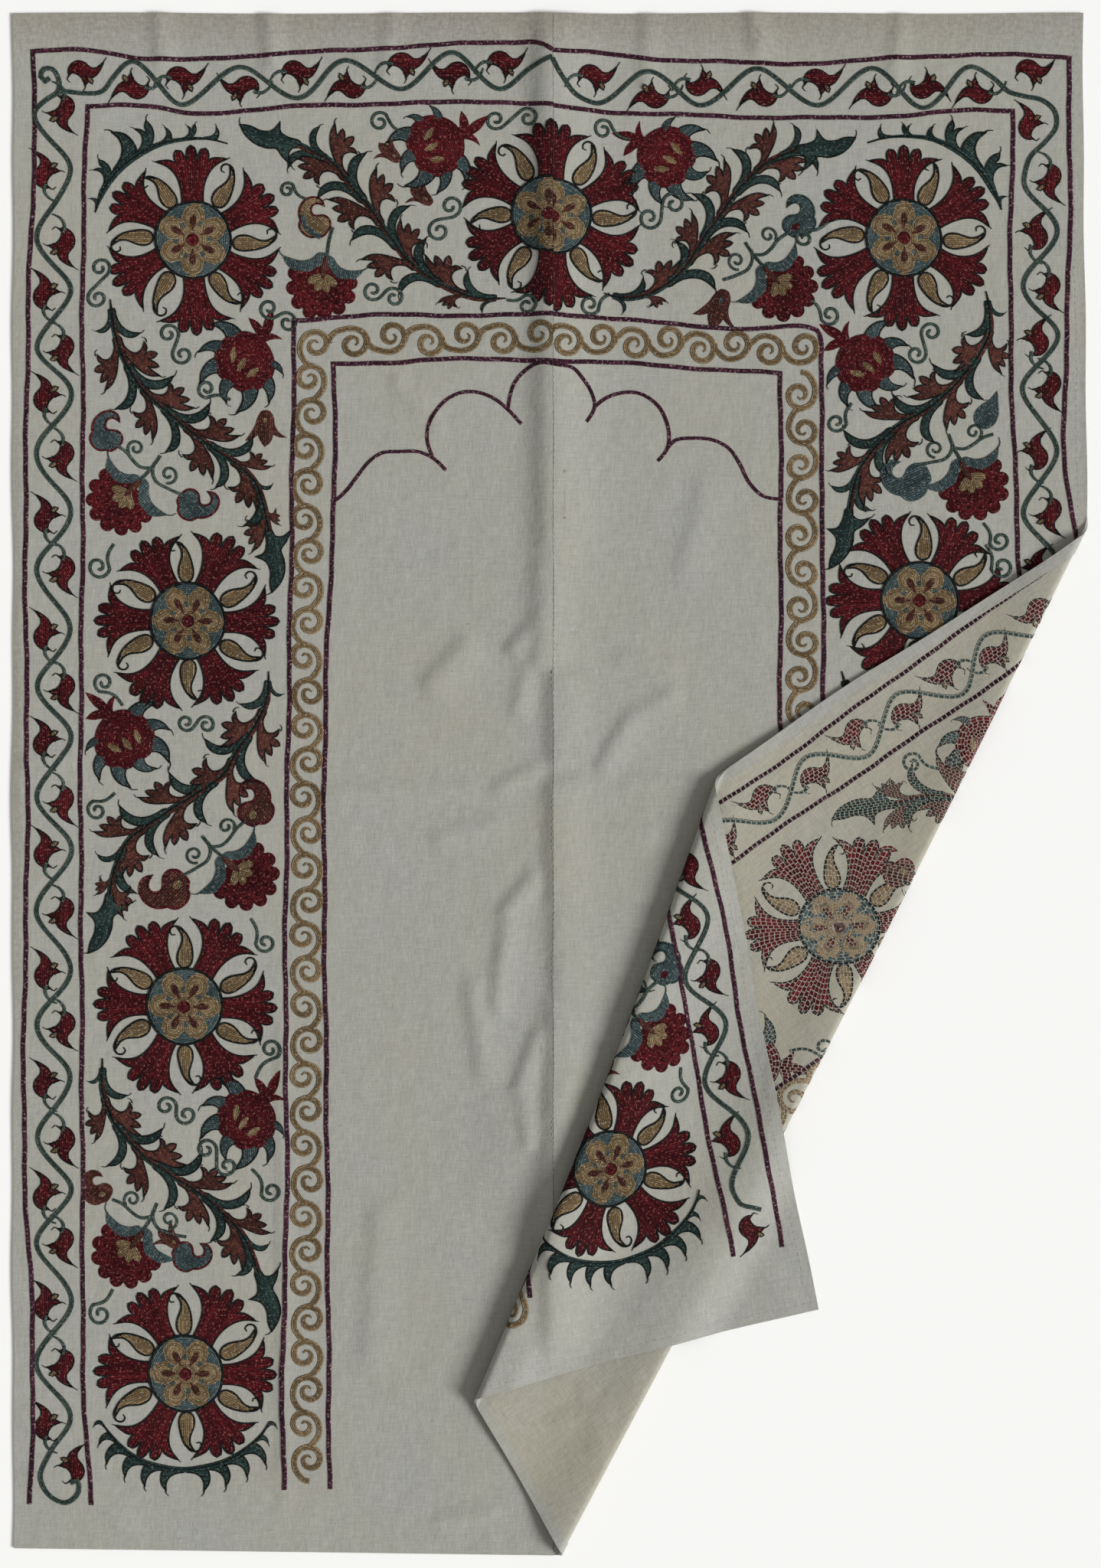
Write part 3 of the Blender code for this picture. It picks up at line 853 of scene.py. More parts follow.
# Rosettes: nine round flowers in the main border. Each has six red petals with
# hooked corners, gold paisleys between them, and a gold flower on a blue disc.
Rosette = namedtuple("Rosette", "x y petal_turn")
ROSETTES = (
    Rosette(-335.2, 511.6, 90), Rosette(332.3, 513.7, 90), Rosette(-340.9, 153.7, 0),
    Rosette(-343.1, -208.4, 0), Rosette(-342.4, -553.3, 0), Rosette(347.4, 173.2, 0),
    Rosette(342.7, -169.8, 0), Rosette(348.3, -517.7, 0))
SEAM_ROSETTE = (Rosette(-0.5, 536.0, 90), Rosette(3.5, 533.0, 90))
EDGE_WIDE, HAIR_WIDE = 1.5, 1.0
PETAL_HALF = (
    (33, 9.4, SHARP), (42, 9.6), (50, 11.0), (57, 13.6), (63, 17.6), (68, 23.5),
    (72, 33, SHARP), (73, 26), (73, 20), (70.5, 14.5, SHARP), (77, 16), (82, 13.6),
    (81.5, 9.4), (76, 6.4), (71, 4.6, SHARP), (78, 4.6), (84, 3.0))
PETAL = PETAL_HALF + ((86, 0),) + tuple((x, -y, *rest) for x, y, *rest in PETAL_HALF[::-1])
PAISLEY = (
    (36.5, 0), (39, -5.4), (45, -7.5), (52, -7.2), (59, -5.8), (66, -3.2), (72, 1.0),
    (74.5, 7, SHARP), (69, 3.2), (62, 2.6), (55.5, 4.8), (49, 6.8), (42.5, 6.5), (38.5, 4.2))
PAISLEY_CURL = ((70, 0), (75.6, 5), (76, 11), (71.8, 14), (67.6, 12), (68, 8.8))
DROP = ((8, 0), (12, 1.5), (19, 3.0), (23, 0), (19, -3.0), (12, -1.5))
DISC_RADIUS, LOBE_RADIUS, LOBE_AT, SEED_RADIUS = 35.5, 12.6, 21.6, 6.0


def straight_rows(x, y):
    return y, x


def fanned_rows(x, y):
    return y / np.maximum(np.abs(x), 12.0) * 55.0, x


def ringed_rows(x, y):
    return np.hypot(x, y), np.arctan2(y, x) * 20.0


def lobe_rows(x, y):
    return ringed_rows(x - LOBE_AT, y)


def fill(outline, rows=straight_rows, level=0, cell=STITCH_CELL):
    """A patch of stitches inside a closed outline, rounded up from its edge."""
    mesh = new_work()
    face = mesh.faces.new([mesh.verts.new((x, y, 0.0)) for x, y in outline])
    face.normal_update()
    bmesh.ops.triangulate(mesh, faces=[face])
    low, high = outline.min(axis=0), outline.max(axis=0)
    for place in np.arange(low[0] + cell / 2, high[0], cell):
        cut(mesh, (place, 0.0), (0.0, 1.0))
    for place in np.arange(low[1] + cell / 2, high[1], cell):
        cut(mesh, (0.0, place), (1.0, 0.0))
    places = np.array([vertex.co for vertex in mesh.verts])[:, :2]
    ways = np.roll(outline, -1, axis=0) - outline
    from_start = places[:, None, :] - outline[None]
    share = np.clip((from_start * ways).sum(axis=2) / (ways * ways).sum(axis=1), 0.0, 1.0)
    inside = np.linalg.norm(from_start - share[:, :, None] * ways, axis=2).min(axis=1)
    across, along = rows(places[:, 0], places[:, 1])
    grain = mesh.verts.layers.float_vector["grain"]
    for at, vertex in enumerate(mesh.verts):
        vertex[grain] = (across[at], along[at], 0.0)
        vertex.co.z = level * LEVEL_RISE + PILLOW * float(smooth(inside[at] / PILLOW_EDGE))
    return kept(mesh)


def edged(points, thread, rows=straight_rows, level=0, edge="dark", wide=EDGE_WIDE, step=3.0):
    """A filled shape with its edge worked in another thread."""
    outline = curve(points, closed=True, step=step)
    return ((thread, fill(outline, rows, level)),
            (edge, strip(outline, wide, closed=True, level=level + 1)))


def hair(*points, wide=HAIR_WIDE, thread="dark"):
    """A fine stroke that runs out to a point."""
    path = curve(points, step=2.8)
    return ((thread, strip(path, np.linspace(wide * 1.3, wide * 0.5, len(path)), level=1)),)


def set_in(shapes, x, y, turn=0.0, size=1.0, flip=False):
    """Shapes moved to their place in a larger motif."""
    return tuple((thread, moved(data, x, y, turn, size, flip)) for thread, data in shapes)


def place_all(work, shapes, x, y, turn=0.0, size=1.0, flip=False):
    for thread, data in shapes:
        sew(work, thread, data, x, y, turn, size, flip)


angles = np.radians(np.arange(0, 360, 7.5))
ring = np.column_stack([np.cos(angles), np.sin(angles)])
PETAL_SHAPES = (edged(PETAL, "red", fanned_rows)
                + hair((71, 30), (73, 35.5)) + hair((71, -30), (73, -35.5)))
PAISLEY_SHAPES = edged(PAISLEY, "gold", wide=1.7) + hair(*PAISLEY_CURL, wide=1.9)
DROP_SHAPES = (("brown", fill(curve(DROP, closed=True, step=2.4), level=4)),)
LOBE_SHAPES = (
    ("gold", fill(ring[::2] * LOBE_RADIUS + np.array([LOBE_AT, 0.0]), lobe_rows, level=1)),)
DISC_SHAPES = (
    ("blue", fill(ring * DISC_RADIUS, ringed_rows)),
    ("gold", fill(ring[::2] * (LOBE_AT - LOBE_RADIUS / 2), ringed_rows, level=1)),
    ("dark", strip(ring * DISC_RADIUS, 1.9, closed=True, level=3)),
    ("red", fill(ring[::3] * SEED_RADIUS, ringed_rows, level=4)))


def rosette(work, flower):
    """Sews one rosette; no two of its petals or paisleys are quite alike."""
    for sixth in range(6):
        turn = flower.petal_turn + 60 * sixth
        drift = math.sin(flower.x * 0.37 + sixth * 2.1)
        place_all(work, PETAL_SHAPES, flower.x, flower.y, turn + 1.6 * drift, 1.02 + 0.02 * drift)
        place_all(work, PAISLEY_SHAPES, flower.x, flower.y, turn + 29 + 2.5 * drift,
                  1.0 - 0.025 * drift)
        place_all(work, LOBE_SHAPES, flower.x, flower.y, turn)
        place_all(work, DROP_SHAPES, flower.x, flower.y, turn)
    place_all(work, DISC_SHAPES, flower.x, flower.y, flower.petal_turn)


def keep_side(work, left):
    """Leaves only the part of the work that is on one side of the seam."""
    edge = SEAM_X / MM + (-0.25 if left else 0.25)
    for mesh in work.values():
        bmesh.ops.bisect_plane(
            mesh, geom=mesh.verts[:] + mesh.edges[:] + mesh.faces[:], dist=1e-4,
            plane_co=(edge, 0.0, 0.0), plane_no=(1.0, 0.0, 0.0),
            clear_outer=left, clear_inner=not left)


rosette_work = defaultdict(new_work)
for flower in ROSETTES:
    rosette(rosette_work, flower)
finish_work("rosettes", rosette_work)
for half, flower in zip(("left", "right"), SEAM_ROSETTE):
    half_work = defaultdict(new_work)
    rosette(half_work, flower)
    keep_side(half_work, half == "left")
    finish_work(f"seam_rosette_{half}", half_work)

# Vine: one green stem that winds between the two outer lines, down both sides
# and along the top. A red leaf with a gold bud fills each of its bends.
Bend = namedtuple("Bend", "x y side")
STEM_WIDE, LEAF_INSET = 4.1, 22.0
SIDE_REACH = 16.0
LEFT_VINE_X, LEFT_BENDS_Y = -466.0, (
    635, 579, 509.5, 466.5, 409, 368.5, 310, 256, 201, 146, 91, 45, -14.5, -58, -120, -173,
    -226, -276, -335, -380, -430, -484.5, -544, -597)
RIGHT_BENDS_Y = (
    568, 521, 467, 421, 373, 315, 255, 205, 155, 101, 52, 4, -50, -101, -156, -208, -259,
    -305, -360, -408, -460, -514)
TOP_BENDS = (
    Bend(-395, 678.7, -1), Bend(-345.4, 639.4, 1), Bend(-292.5, 674.8, -1),
    Bend(-237.9, 644.4, 1), Bend(-191.6, 680.7, -1), Bend(-137.1, 653.3, 1),
    Bend(-94.1, 687.3, -1), Bend(-44.5, 654.3, 1))
TOP_RIGHT_BENDS = (
    Bend(41.3, 640.3, 1), Bend(93.4, 670.7, -1), Bend(141.2, 637.7, 1), Bend(195.6, 672.7, -1),
    Bend(253.3, 637.7, 1), Bend(302.7, 672.7, -1), Bend(352.2, 636.1, 1), Bend(398.4, 674, -1))
VINE_LEAF = (
    (19.2, 12.2, SHARP), (15.9, 5), (11.6, -0.7), (5.6, -4.3), (0, -11.6, SHARP), (-2.3, -4.3),
    (-7.6, 0), (-11.6, 1), (-14.9, -2.3, SHARP), (-14.9, 5), (-10.9, 10.2), (-5, 12.2),
    (1, 10.6), (6.9, 6), (13.2, 6.6))
BUD = ((1.8, -1.0), (3.4, -6), (7.0, -9.2), (8.0, -6.0), (5.6, -2.6))
VINE_SHAPES = (
    edged(VINE_LEAF, "red", wide=1.2) + edged(BUD, "gold", level=1, wide=1.0)
    + hair((13, 7), (19.2, 12.2), (21.5, 16)) + hair((-2, -6), (0.5, -12), (-1.5, -16))
    + hair((-14, -1), (-16.5, -5), (-14, -8)))
VINE_TAIL = hair((-12, 2), (-20, 3), (-25.5, -1), (-29, -8.5), wide=2.8, thread="sage")


def right_vine_x(y):
    return 461.0 + 9.5 * smooth((280.0 - y) / 400.0)


left_bends = [Bend(LEFT_VINE_X + (SIDE_REACH if at % 2 else -SIDE_REACH), y, 1 if at % 2 else -1)
              for at, y in enumerate(LEFT_BENDS_Y)]
right_bends = [Bend(float(right_vine_x(y)) + (SIDE_REACH if at % 2 else -SIDE_REACH), y,
                    1 if at % 2 else -1) for at, y in enumerate(RIGHT_BENDS_Y)]
STEMS = (
    ((-470.5, 664), (-475, 661), (-479, 665), (-476, 672), (-468, 672.5), (-462.5, 664),
     (-463, 652), (-472, 645)) + tuple((bend.x, bend.y) for bend in left_bends)
    + ((-470, -628), (-479, -652), (-468, -670), (-454.7, -674.8), (-443, -664.4),
       (-445, -655), (-451, -657)),
    ((-467, 648), (-462.7, 650.8), (-441, 650), (-421, 652), (-411.5, 663))
    + tuple((bend.x, bend.y) for bend in TOP_BENDS) + ((-20, 672), (2.7, 683)),
    ((3.3, 681), (12.6, 663.4), (24, 648)) + tuple((bend.x, bend.y) for bend in TOP_RIGHT_BENDS)
    + ((418, 663), (433, 650), (446, 647), (462.6, 644.3), (475.8, 632), (476, 617),
       (467.6, 605.7), (450, 588)) + tuple((bend.x, bend.y) for bend in right_bends)
    + ((461.1, -566.8), (465, -577.8), (476, -584.4), (482.7, -588.2)),
)
vine_work = defaultdict(new_work)
for points in STEMS:
    sew(vine_work, "sage", strip(curve(points, step=4.0), STEM_WIDE, level=2))
vine_leaves = [(bend.x - bend.side * LEAF_INSET, bend.y - 3, 90 * bend.side, False)
               for bend in left_bends]
vine_leaves += [(bend.x - bend.side * LEAF_INSET, bend.y - 2, 90 * bend.side, bend.side > 0)
                for bend in right_bends]
vine_leaves += [(bend.x + 2, bend.y + bend.side * LEAF_INSET, 90 - 90 * bend.side, at % 4 == 2)
                for at, bend in enumerate(TOP_BENDS + TOP_RIGHT_BENDS)]
for x, y, turn, flip in vine_leaves:
    place_all(vine_work, VINE_TAIL, x, y, turn)
    place_all(vine_work, VINE_SHAPES, x, y, turn, 1.05, flip)
for x, y, turn, flip in ((-437.9, 668.2, 0, False), (452.8, 622, 90, False),
                         (454.4, 668.4, 0, False), (-450.8, -641, 90, True),
                         (471, -606, -90, True)):
    place_all(vine_work, VINE_SHAPES, x, y, turn, flip=flip)
finish_work("vine", vine_work)

# Scroll band: a running scroll in dull gold between the two inner lines. Its
# curls roll up by turns on either side, each springing from the one before.
SCROLL_WIDE, SCROLL_END = 5.1, 1.3
SCROLL_SIDE = 12.5
# A curl by its angles, first as shares of its reach to the curl behind, then in mm
LEAD_ANGLES, LEAD_SHARES = (176, 161, 143), (1.0, 1.0, 0.90)
COIL_ANGLES = (124, 90, 45, 6, -45, -90, -140, -187, -230, -272, -310, -345, -390)
COIL_REACHES = (17.2, 15.0, 13.6, 12.5, 11.0, 9.7, 8.5, 7.7, 7.1, 6.6, 5.7, 4.4, 2.4)
Run = namedtuple("Run", "points curls offset left")
SCROLL_RUNS = (
    Run(((-228.5, -635), (-229, -300), (-228.5, 0), (-228, 200), (-226, 350), (-221.5, 414)),
        33, 2.8, True),
    Run(((-184.5, 417), (-130, 418.5), (-9.6, 419.5)), 6, 3.6, True),
    Run(((15.5, 419), (110, 414), (212, 409), (238, 407)), 8, 4.0, False),
    Run(((237.5, 366.5), (237, 200), (238, 0), (239, -300), (234, -632)), 31, 2.6, False),
)


def scroll_path(step):
    """A curl about the origin that starts at the side of the one behind it."""
    angles = np.radians(LEAD_ANGLES + COIL_ANGLES)
    reach = tuple((step - SCROLL_SIDE) * share for share in LEAD_SHARES) + COIL_REACHES
    return curve([(far * math.cos(angle), far * math.sin(angle))
                  for far, angle in zip(reach, angles)], step=2.2)


def walk(points, spacing, start=0.0):
    """Places and directions at even spacing along a smooth line."""
    path = curve(points)
    far = np.concatenate([[0.0], np.cumsum(np.linalg.norm(np.diff(path, axis=0), axis=1))])
    for at in np.arange(start, far[-1], spacing):
        here = np.array([np.interp(at, far, path[:, axis]) for axis in (0, 1)])
        ahead = np.array([np.interp(at + 8.0, far, path[:, axis]) for axis in (0, 1)])
        behind = np.array([np.interp(at - 2.0, far, path[:, axis]) for axis in (0, 1)])
        yield here, math.degrees(math.atan2(*(ahead - behind)[::-1]))


for half in ("left", "right"):
    scroll_work = defaultdict(new_work)
    for run in SCROLL_RUNS:
        if run.left != (half == "left"):
            continue
        line = curve(run.points)
        step = np.linalg.norm(np.diff(line, axis=0), axis=1).sum() / (run.curls - 1) - 0.01
        path = scroll_path(step)
        scroll = strip(path, np.interp(np.linspace(0.0, 1.0, len(path)), (0.0, 0.86, 1.0),
                                       (SCROLL_WIDE, SCROLL_WIDE, SCROLL_END)))
        for at, (here, heading) in enumerate(walk(run.points, step)):
            side = -1 if at % 2 else 1
            aside = np.radians(heading + 90.0)
            place = here - side * run.offset * np.array([math.cos(aside), math.sin(aside)])
            sew(scroll_work, "gold", scroll, *place, heading, 1.0, side < 0)
    keep_side(scroll_work, half == "left")
    finish_work(f"scroll_band_{half}", scroll_work)

# Branches: eight leafy sprays that fill the main border between the flowers.
# Pairs of green blades and of brown hooked leaves spring by turns from a stem.
Branch = namedtuple("Branch", "points leaf_turn")
LEAF_SPACING, STEM_SHIFT, END_ROOM = 27.0, 1.4, 14.0
BRANCHES = (
    Branch(((-41.2, 456.6), (-77.6, 459.9), (-107.3, 473.1), (-130.5, 489.6), (-150.3, 516.1),
            (-166.8, 539.2), (-186.7, 562.4), (-206.5, 585.5), (-236.3, 602)), 18),
    Branch(((50.5, 462.3), (73.6, 457.4), (100, 464), (123.1, 480.4), (139.6, 506.8),
            (159.3, 533.2), (179.1, 559.6), (202.2, 582.6), (231.9, 595.8)), -18),
    Branch(((-413.2, 455), (-404.9, 413.6), (-386.4, 377.6), (-370.3, 359.2), (-342.8, 336.3),
            (-317.5, 317.9), (-294.6, 301.8), (-278.5, 285.8), (-269.3, 262.8),
            (-264.7, 238)), 0),
    Branch(((-264.7, 106), (-267, 79.1), (-276.2, 56.1), (-292.3, 33.2), (-303.8, 13),
            (-324.4, -3.1), (-352, -21.4), (-374.9, -37.5), (-393.3, -51.3),
            (-407.1, -74.2), (-414, -104)), 0),
    Branch(((-420.9, -258), (-418.6, -292.4), (-409.4, -315.3), (-393.3, -336),
            (-379.1, -351.5), (-355.6, -367.1), (-329.5, -382.8), (-303.5, -406.2),
            (-285.2, -429.7), (-274.8, -458.4)), 0),
    Branch(((408.9, 463), (412.8, 444.2), (412.8, 424.9), (405.1, 405.6), (393.5, 390.2),
            (376.1, 370.9), (354.9, 353.6), (331.8, 340.1), (312.5, 322.7), (295.1, 301.5),
            (285.5, 280.3), (281, 258)), 0),
    Branch(((273.9, 105.8), (285, 75), (310, 40), (345, 10), (384, -17), (405, -60)), 0),
)
BRANCHES += (Branch(tuple((-x, y) for x, y in BRANCHES[4].points), 0),)
BLADE = (
    (0, 2.2), (8, 3.6), (17, 5.6), (26, 10.5), (32, 17.5), (35, 25.5), (36, 34, SHARP),
    (41, 26.5), (41.5, 17.5), (36.5, 8.5), (27, 1.5), (14, -1.6), (0, -1.6))
PALMETTE = (
    (0, 1.8), (10, 3.2), (18, 7.5), (22, 13.5), (20.5, 19.5), (13, 25, SHARP), (20.5, 26),
    (25.5, 22, SHARP), (26, 29), (30.5, 34), (33.5, 29.5), (32.5, 22.5, SHARP), (38, 28),
    (44.5, 30.5), (44, 25), (39.5, 19.5, SHARP), (47, 23), (55, 28.5, SHARP), (50.5, 18.5),
    (41, 10.5), (30, 5), (20, 1.2), (10, -1.2), (0, -1.8))
END_LEAF = (
    (-2, 3), (5, 5), (8, 12), (3, 24, SHARP), (14, 17), (22, 9.5), (33, 11), (46, 9.5),
    (58, 3.5), (68, -8, SHARP), (56, -8.5), (44, -6), (33, -8), (25, -20, SHARP), (22, -9),
    (12, -5), (-2, -3))
BLADE_SHAPES = edged(BLADE, "green", step=4.2) + hair((37.5, 31), (36, 36.5), (32.5, 40.5))
PALMETTE_SHAPES = (
    edged(PALMETTE, "brown", step=3.6) + hair((14.5, 27.5), (10, 27), (7.5, 23.5))
    + hair((52, 25.5), (57, 29.5), (58, 34)))
END_LEAF_SHAPES = (
    edged(END_LEAF, "green", step=4.2) + hair((0, 0), (14, 2.5), (30, 3.5), (44, 1.5))
    + hair((65, -6), (69, -11), (69, -16)) + hair((5, 21), (2, 26), (-2, 29)))
BLADE_SIZE, PALMETTE_SIZE, LEAST_SIZE, END_SIZE = 0.84, 0.83, 0.36, 0.84
FIELD_OUT, FIELD_TOP, FIELD_IN, FIELD_FOOT = 429.0, 623.0, 261.0, 452.0


def in_field(place):
    """Whether a place is in the main border, clear of the lines beside it."""
    x, y = abs(place[0]), place[1]
    return x < FIELD_OUT and y < FIELD_TOP and (x > FIELD_IN or y > FIELD_FOOT)


def room(here, heading, side, tip, size):
    """The size at which a leaf's tip stays within the border."""
    turn = math.radians(heading)
    way = np.array([tip[0] * math.cos(turn) - side * tip[1] * math.sin(turn),
                    tip[0] * math.sin(turn) + side * tip[1] * math.cos(turn)])
    while size > LEAST_SIZE and not in_field(here + size * way):
        size -= 0.03
    return size


branch_work = defaultdict(new_work)
for branch in BRANCHES:
    stem = curve(branch.points)
    share = np.linspace(0.0, 1.0, len(stem))
    sides = np.gradient(stem, axis=0)[:, ::-1] * np.array([-1.0, 1.0])
    sides /= np.linalg.norm(sides, axis=1)[:, None]
    wide = np.interp(share, (0.0, 0.10, 1.0), (0.8, 3.4, 3.4))
    shift = STEM_SHIFT * np.minimum(1.0, share / 0.10)[:, None] * sides
    sew(branch_work, "green", strip(stem - shift, wide, level=0))
    sew(branch_work, "brown", strip(stem + shift, wide, level=0))
    sew(branch_work, "dark", strip(stem, 1.2, level=3))
    places = list(walk(branch.points, LEAF_SPACING, 9.0))
    if np.linalg.norm(places[-1][0] - stem[-1]) < END_ROOM:
        places.pop()
    for at, (here, heading) in enumerate(places):
        shapes, size, leaf_tip = ((PALMETTE_SHAPES, PALMETTE_SIZE, (53, 33)) if at % 2
                                  else (BLADE_SHAPES, BLADE_SIZE, (38, 40)))
        for side in (1, -1):
            aside = math.radians(heading + 90.0 * side)
            drift = math.sin(here[0] * 0.71 + side)
            grown = size * (1.0 + 0.05 * drift) * (0.82 if at in (0, len(places) - 1) else 1.0)
            fitted = room(here, heading, side, leaf_tip, grown)
            place_all(branch_work, shapes, here[0] + STEM_SHIFT * math.cos(aside),
                      here[1] + STEM_SHIFT * math.sin(aside), heading + 3.0 * drift,
                      fitted, side < 0)
    tip, before = np.array(branch.points[-1]), np.array(branch.points[-2])
    heading = math.degrees(math.atan2(*(tip - before)[::-1]))
    place_all(branch_work, END_LEAF_SHAPES, *tip, heading + branch.leaf_turn, END_SIZE,
              branch.leaf_turn < 0)
finish_work("branches", branch_work)

# Corner sprays and wreaths: green sprigs that curve round four of the rosettes,
# with blades on their outer side only.
Sprig = namedtuple("Sprig", "x y radius start end size swell spacing")
SPRIGS = (
    Sprig(-335.2, 511.6, 96, 164, 70, 0.72, 0.75, 22),
    Sprig(332.3, 513.7, 96, 16, 110, 0.72, 0.75, 22),
    Sprig(-342.4, -553.3, 91, 270, 330, 0.88, 0.0, 17),
    Sprig(-342.4, -553.3, 91, 270, 210, 0.88, 0.0, 17),
    Sprig(348.3, -517.7, 91, 270, 334, 0.88, 0.0, 17),
    Sprig(348.3, -517.7, 91, 270, 210, 0.88, 0.0, 17))
FIN = (
    (-7, 2), (3, 5), (9.5, 10), (12, 16.5), (11, 24.5, SHARP), (17, 17.5), (18.5, 9.5), (17, 3),
    (5, -1.5))
SPRAY = (
    (-9, 2), (1, 5), (8, 11), (10, 18), (6, 28, SHARP), (13, 23), (16.5, 17), (17.5, 24),
    (23, 30, SHARP), (25, 22), (23, 12), (17, 4), (5, -1.5))
FIN_SHAPES = edged(FIN, "green") + hair((12, 22.5), (11, 27), (8, 30))
SPRAY_SHAPES = (edged(SPRAY, "green") + hair((7, 26), (5, 30), (2, 32.5))
                + hair((23, 28), (25, 33), (29, 35)))
sprig_work = defaultdict(new_work)
for sprig in SPRIGS:
    degrees = np.linspace(sprig.start, sprig.end, 16)
    angles = np.radians(degrees)
    arc = np.array([sprig.x, sprig.y]) + sprig.radius * np.column_stack(
        [np.cos(angles), np.sin(angles)])
    wide = np.interp(np.linspace(0.0, 1.0, len(arc)), (0.0, 0.15, 0.5, 1.0),
                     (1.0, 6.5, 5.5, 1.2) if sprig.swell else (4.4, 4.8, 4.8, 1.2))
    sew(sprig_work, "green", strip(arc, wide, level=1))
    sew(sprig_work, "dark", strip(arc, 1.2, level=3))
    outward = sprig.end > sprig.start
    corner = 135.0 if sprig.x < 0 else 45.0
    for at, (here, heading) in enumerate(walk([tuple(place) for place in arc], sprig.spacing, 6)):
        degree = math.degrees(math.atan2(here[1] - sprig.y, here[0] - sprig.x))
        grown = sprig.size * (1.0 + sprig.swell * math.exp(-((degree - corner) / 27.0) ** 2))
        size = room(here, heading, -1 if outward else 1, (14, 33), grown)
        shapes = SPRAY_SHAPES if sprig.swell and at % 2 else FIN_SHAPES
        place_all(sprig_work, shapes, *here, heading, size, outward)
finish_work("sprigs", sprig_work)

# Pomegranates: round red fruit with a three-pronged crown, three gold seeds in
# a row, and hooked blue leaves about them.
Fruit = namedtuple("Fruit", "x y crown")
FRUITS = (
    Fruit(-107.3, 600.4, 25), Fruit(109.9, 589.2, 150), Fruit(-287.5, 397.1, 55),
    Fruit(296.1, 396, 135), Fruit(-400.2, 42.4, 125), Fruit(-285.4, -315.3, 50),
    Fruit(400.0, 42.0, 55), Fruit(287.0, -312.0, 130))
FRUIT_RADIUS = 26.5
CROWN = (
    (23, -5), (28, -6), (33.5, -10), (38.5, -17.5, SHARP), (38.5, -10), (36.5, -4.5, SHARP),
    (43, -3.5), (50.5, 0.5), (57, 5.5, SHARP), (47.5, 6.5), (40.5, 5.5), (36.5, 4, SHARP),
    (38, 10.5), (36, 19.5, SHARP), (30.5, 12), (28, 6.5), (23, 5))
SEED = ((-7.5, 0), (-3, 2.6), (3, 2.6), (7.5, 0), (3, -2.6), (-3, -2.6))
HORN = (
    (-4, -9), (4, -8), (11.5, -4), (17.5, 3.5), (19.5, 14, SHARP), (13, 8.5), (7, 6), (1, 6.5),
    (-4, 9))
Seed = namedtuple("Seed", "x y turn")
SEEDS = (Seed(-1, 12.5, 30), Seed(-4, 0.8, 3), Seed(-4, -11.5, -18))
HORN_ANGLES = (60, 98, 136, 178, 224, 262, 300)
HORN_SHAPES = edged(HORN, "blue") + hair((19, 11), (21.5, 16), (20.5, 21.5))
cleft = 1.03 - 0.16 * np.exp(-((np.arange(0, 360, 7.5) - 180.0) / 15.0) ** 2)
fruit_outline = ring * FRUIT_RADIUS * cleft[:, None] * np.array([1.0, 1.04])
FRUIT_SHAPES = (
    (("red", fill(curve(CROWN, closed=True))), ("red", fill(fruit_outline, ringed_rows, level=1)),
     ("dark", strip(fruit_outline, 1.0, closed=True, level=1))))
SEED_SHAPES = (("gold", fill(curve(SEED, closed=True), level=3)),)
fruit_work = defaultdict(new_work)
for fruit in FRUITS:
    crown = np.radians(fruit.crown)
    turned = np.array([[math.cos(crown), math.sin(crown)], [-math.sin(crown), math.cos(crown)]])
    place_all(fruit_work, FRUIT_SHAPES, fruit.x, fruit.y, fruit.crown)
    for seed in SEEDS:
        place = np.array([fruit.x, fruit.y]) + np.array([seed.x, seed.y]) @ turned
        place_all(fruit_work, SEED_SHAPES, *place, fruit.crown + seed.turn)
    for at, angle in enumerate(HORN_ANGLES):
        outward = np.radians(fruit.crown + angle)
        place = np.array([math.cos(outward), math.sin(outward)]) * (FRUIT_RADIUS - 1.0)
        place += np.array([fruit.x, fruit.y])
        size = room(place, fruit.crown + angle, -1 if angle > 180 else 1, (21, 19),
                    (1.0, 0.84, 0.94, 0.72)[at % 4])
        place_all(fruit_work, HORN_SHAPES, *place, fruit.crown + angle, max(size, 0.55),
                  angle > 180)
finish_work("pomegranates", fruit_work)

# Carnations: red fans of round scallops with a gold heart and a brown stamen,
# held by two blue sepals whose tips curl.
Carnation = namedtuple("Carnation", "x y opens flip")
CARNATIONS = (
    Carnation(-214.8, 470, -98, False), Carnation(218.7, 468, -45, False),
    Carnation(-402.5, 267.4, -135, True), Carnation(-287.7, -85.7, -40, False),
    Carnation(-397.3, -440.1, -125, True), Carnation(398.0, 281.0, -60, False),
    Carnation(417.0, -406.0, -50, False), Carnation(288, -86, -140, True))
CARNATION_LOBES, CARNATION_SPREAD = 8, 118.0
SEPAL = (
    (-27, 0), (-18, 4), (-11, 10), (-7, 19), (-9, 28), (-20, 38, SHARP), (-18, 29), (-17.5, 20),
    (-21, 12), (-27, 6))
STAMEN = ((-27, 0), (-20, 2.6), (-12, 3), (-4, 0), (-12, -3), (-20, -2.6))
BLOB_LEAF = (
    (0, 0), (1, 6), (6, 10), (12, 9.5), (16, 6, SHARP), (20, 3.5), (24.5, 5), (27, 9.5),
    (24.5, 14.5), (17.5, 16.5, SHARP), (24, 19.5), (31, 17), (35, 10.5), (35, 2), (31, -5),
    (26.5, -8, SHARP), (24, -13), (16, -16), (8.5, -14), (5.5, -10, SHARP), (1, -7))
POINT_LEAF = (
    (0, 0), (4, 8), (12, 11), (22, 8), (31, 2.5), (42, 0, SHARP), (31, -6), (20, -11), (9, -11),
    (2, -6))
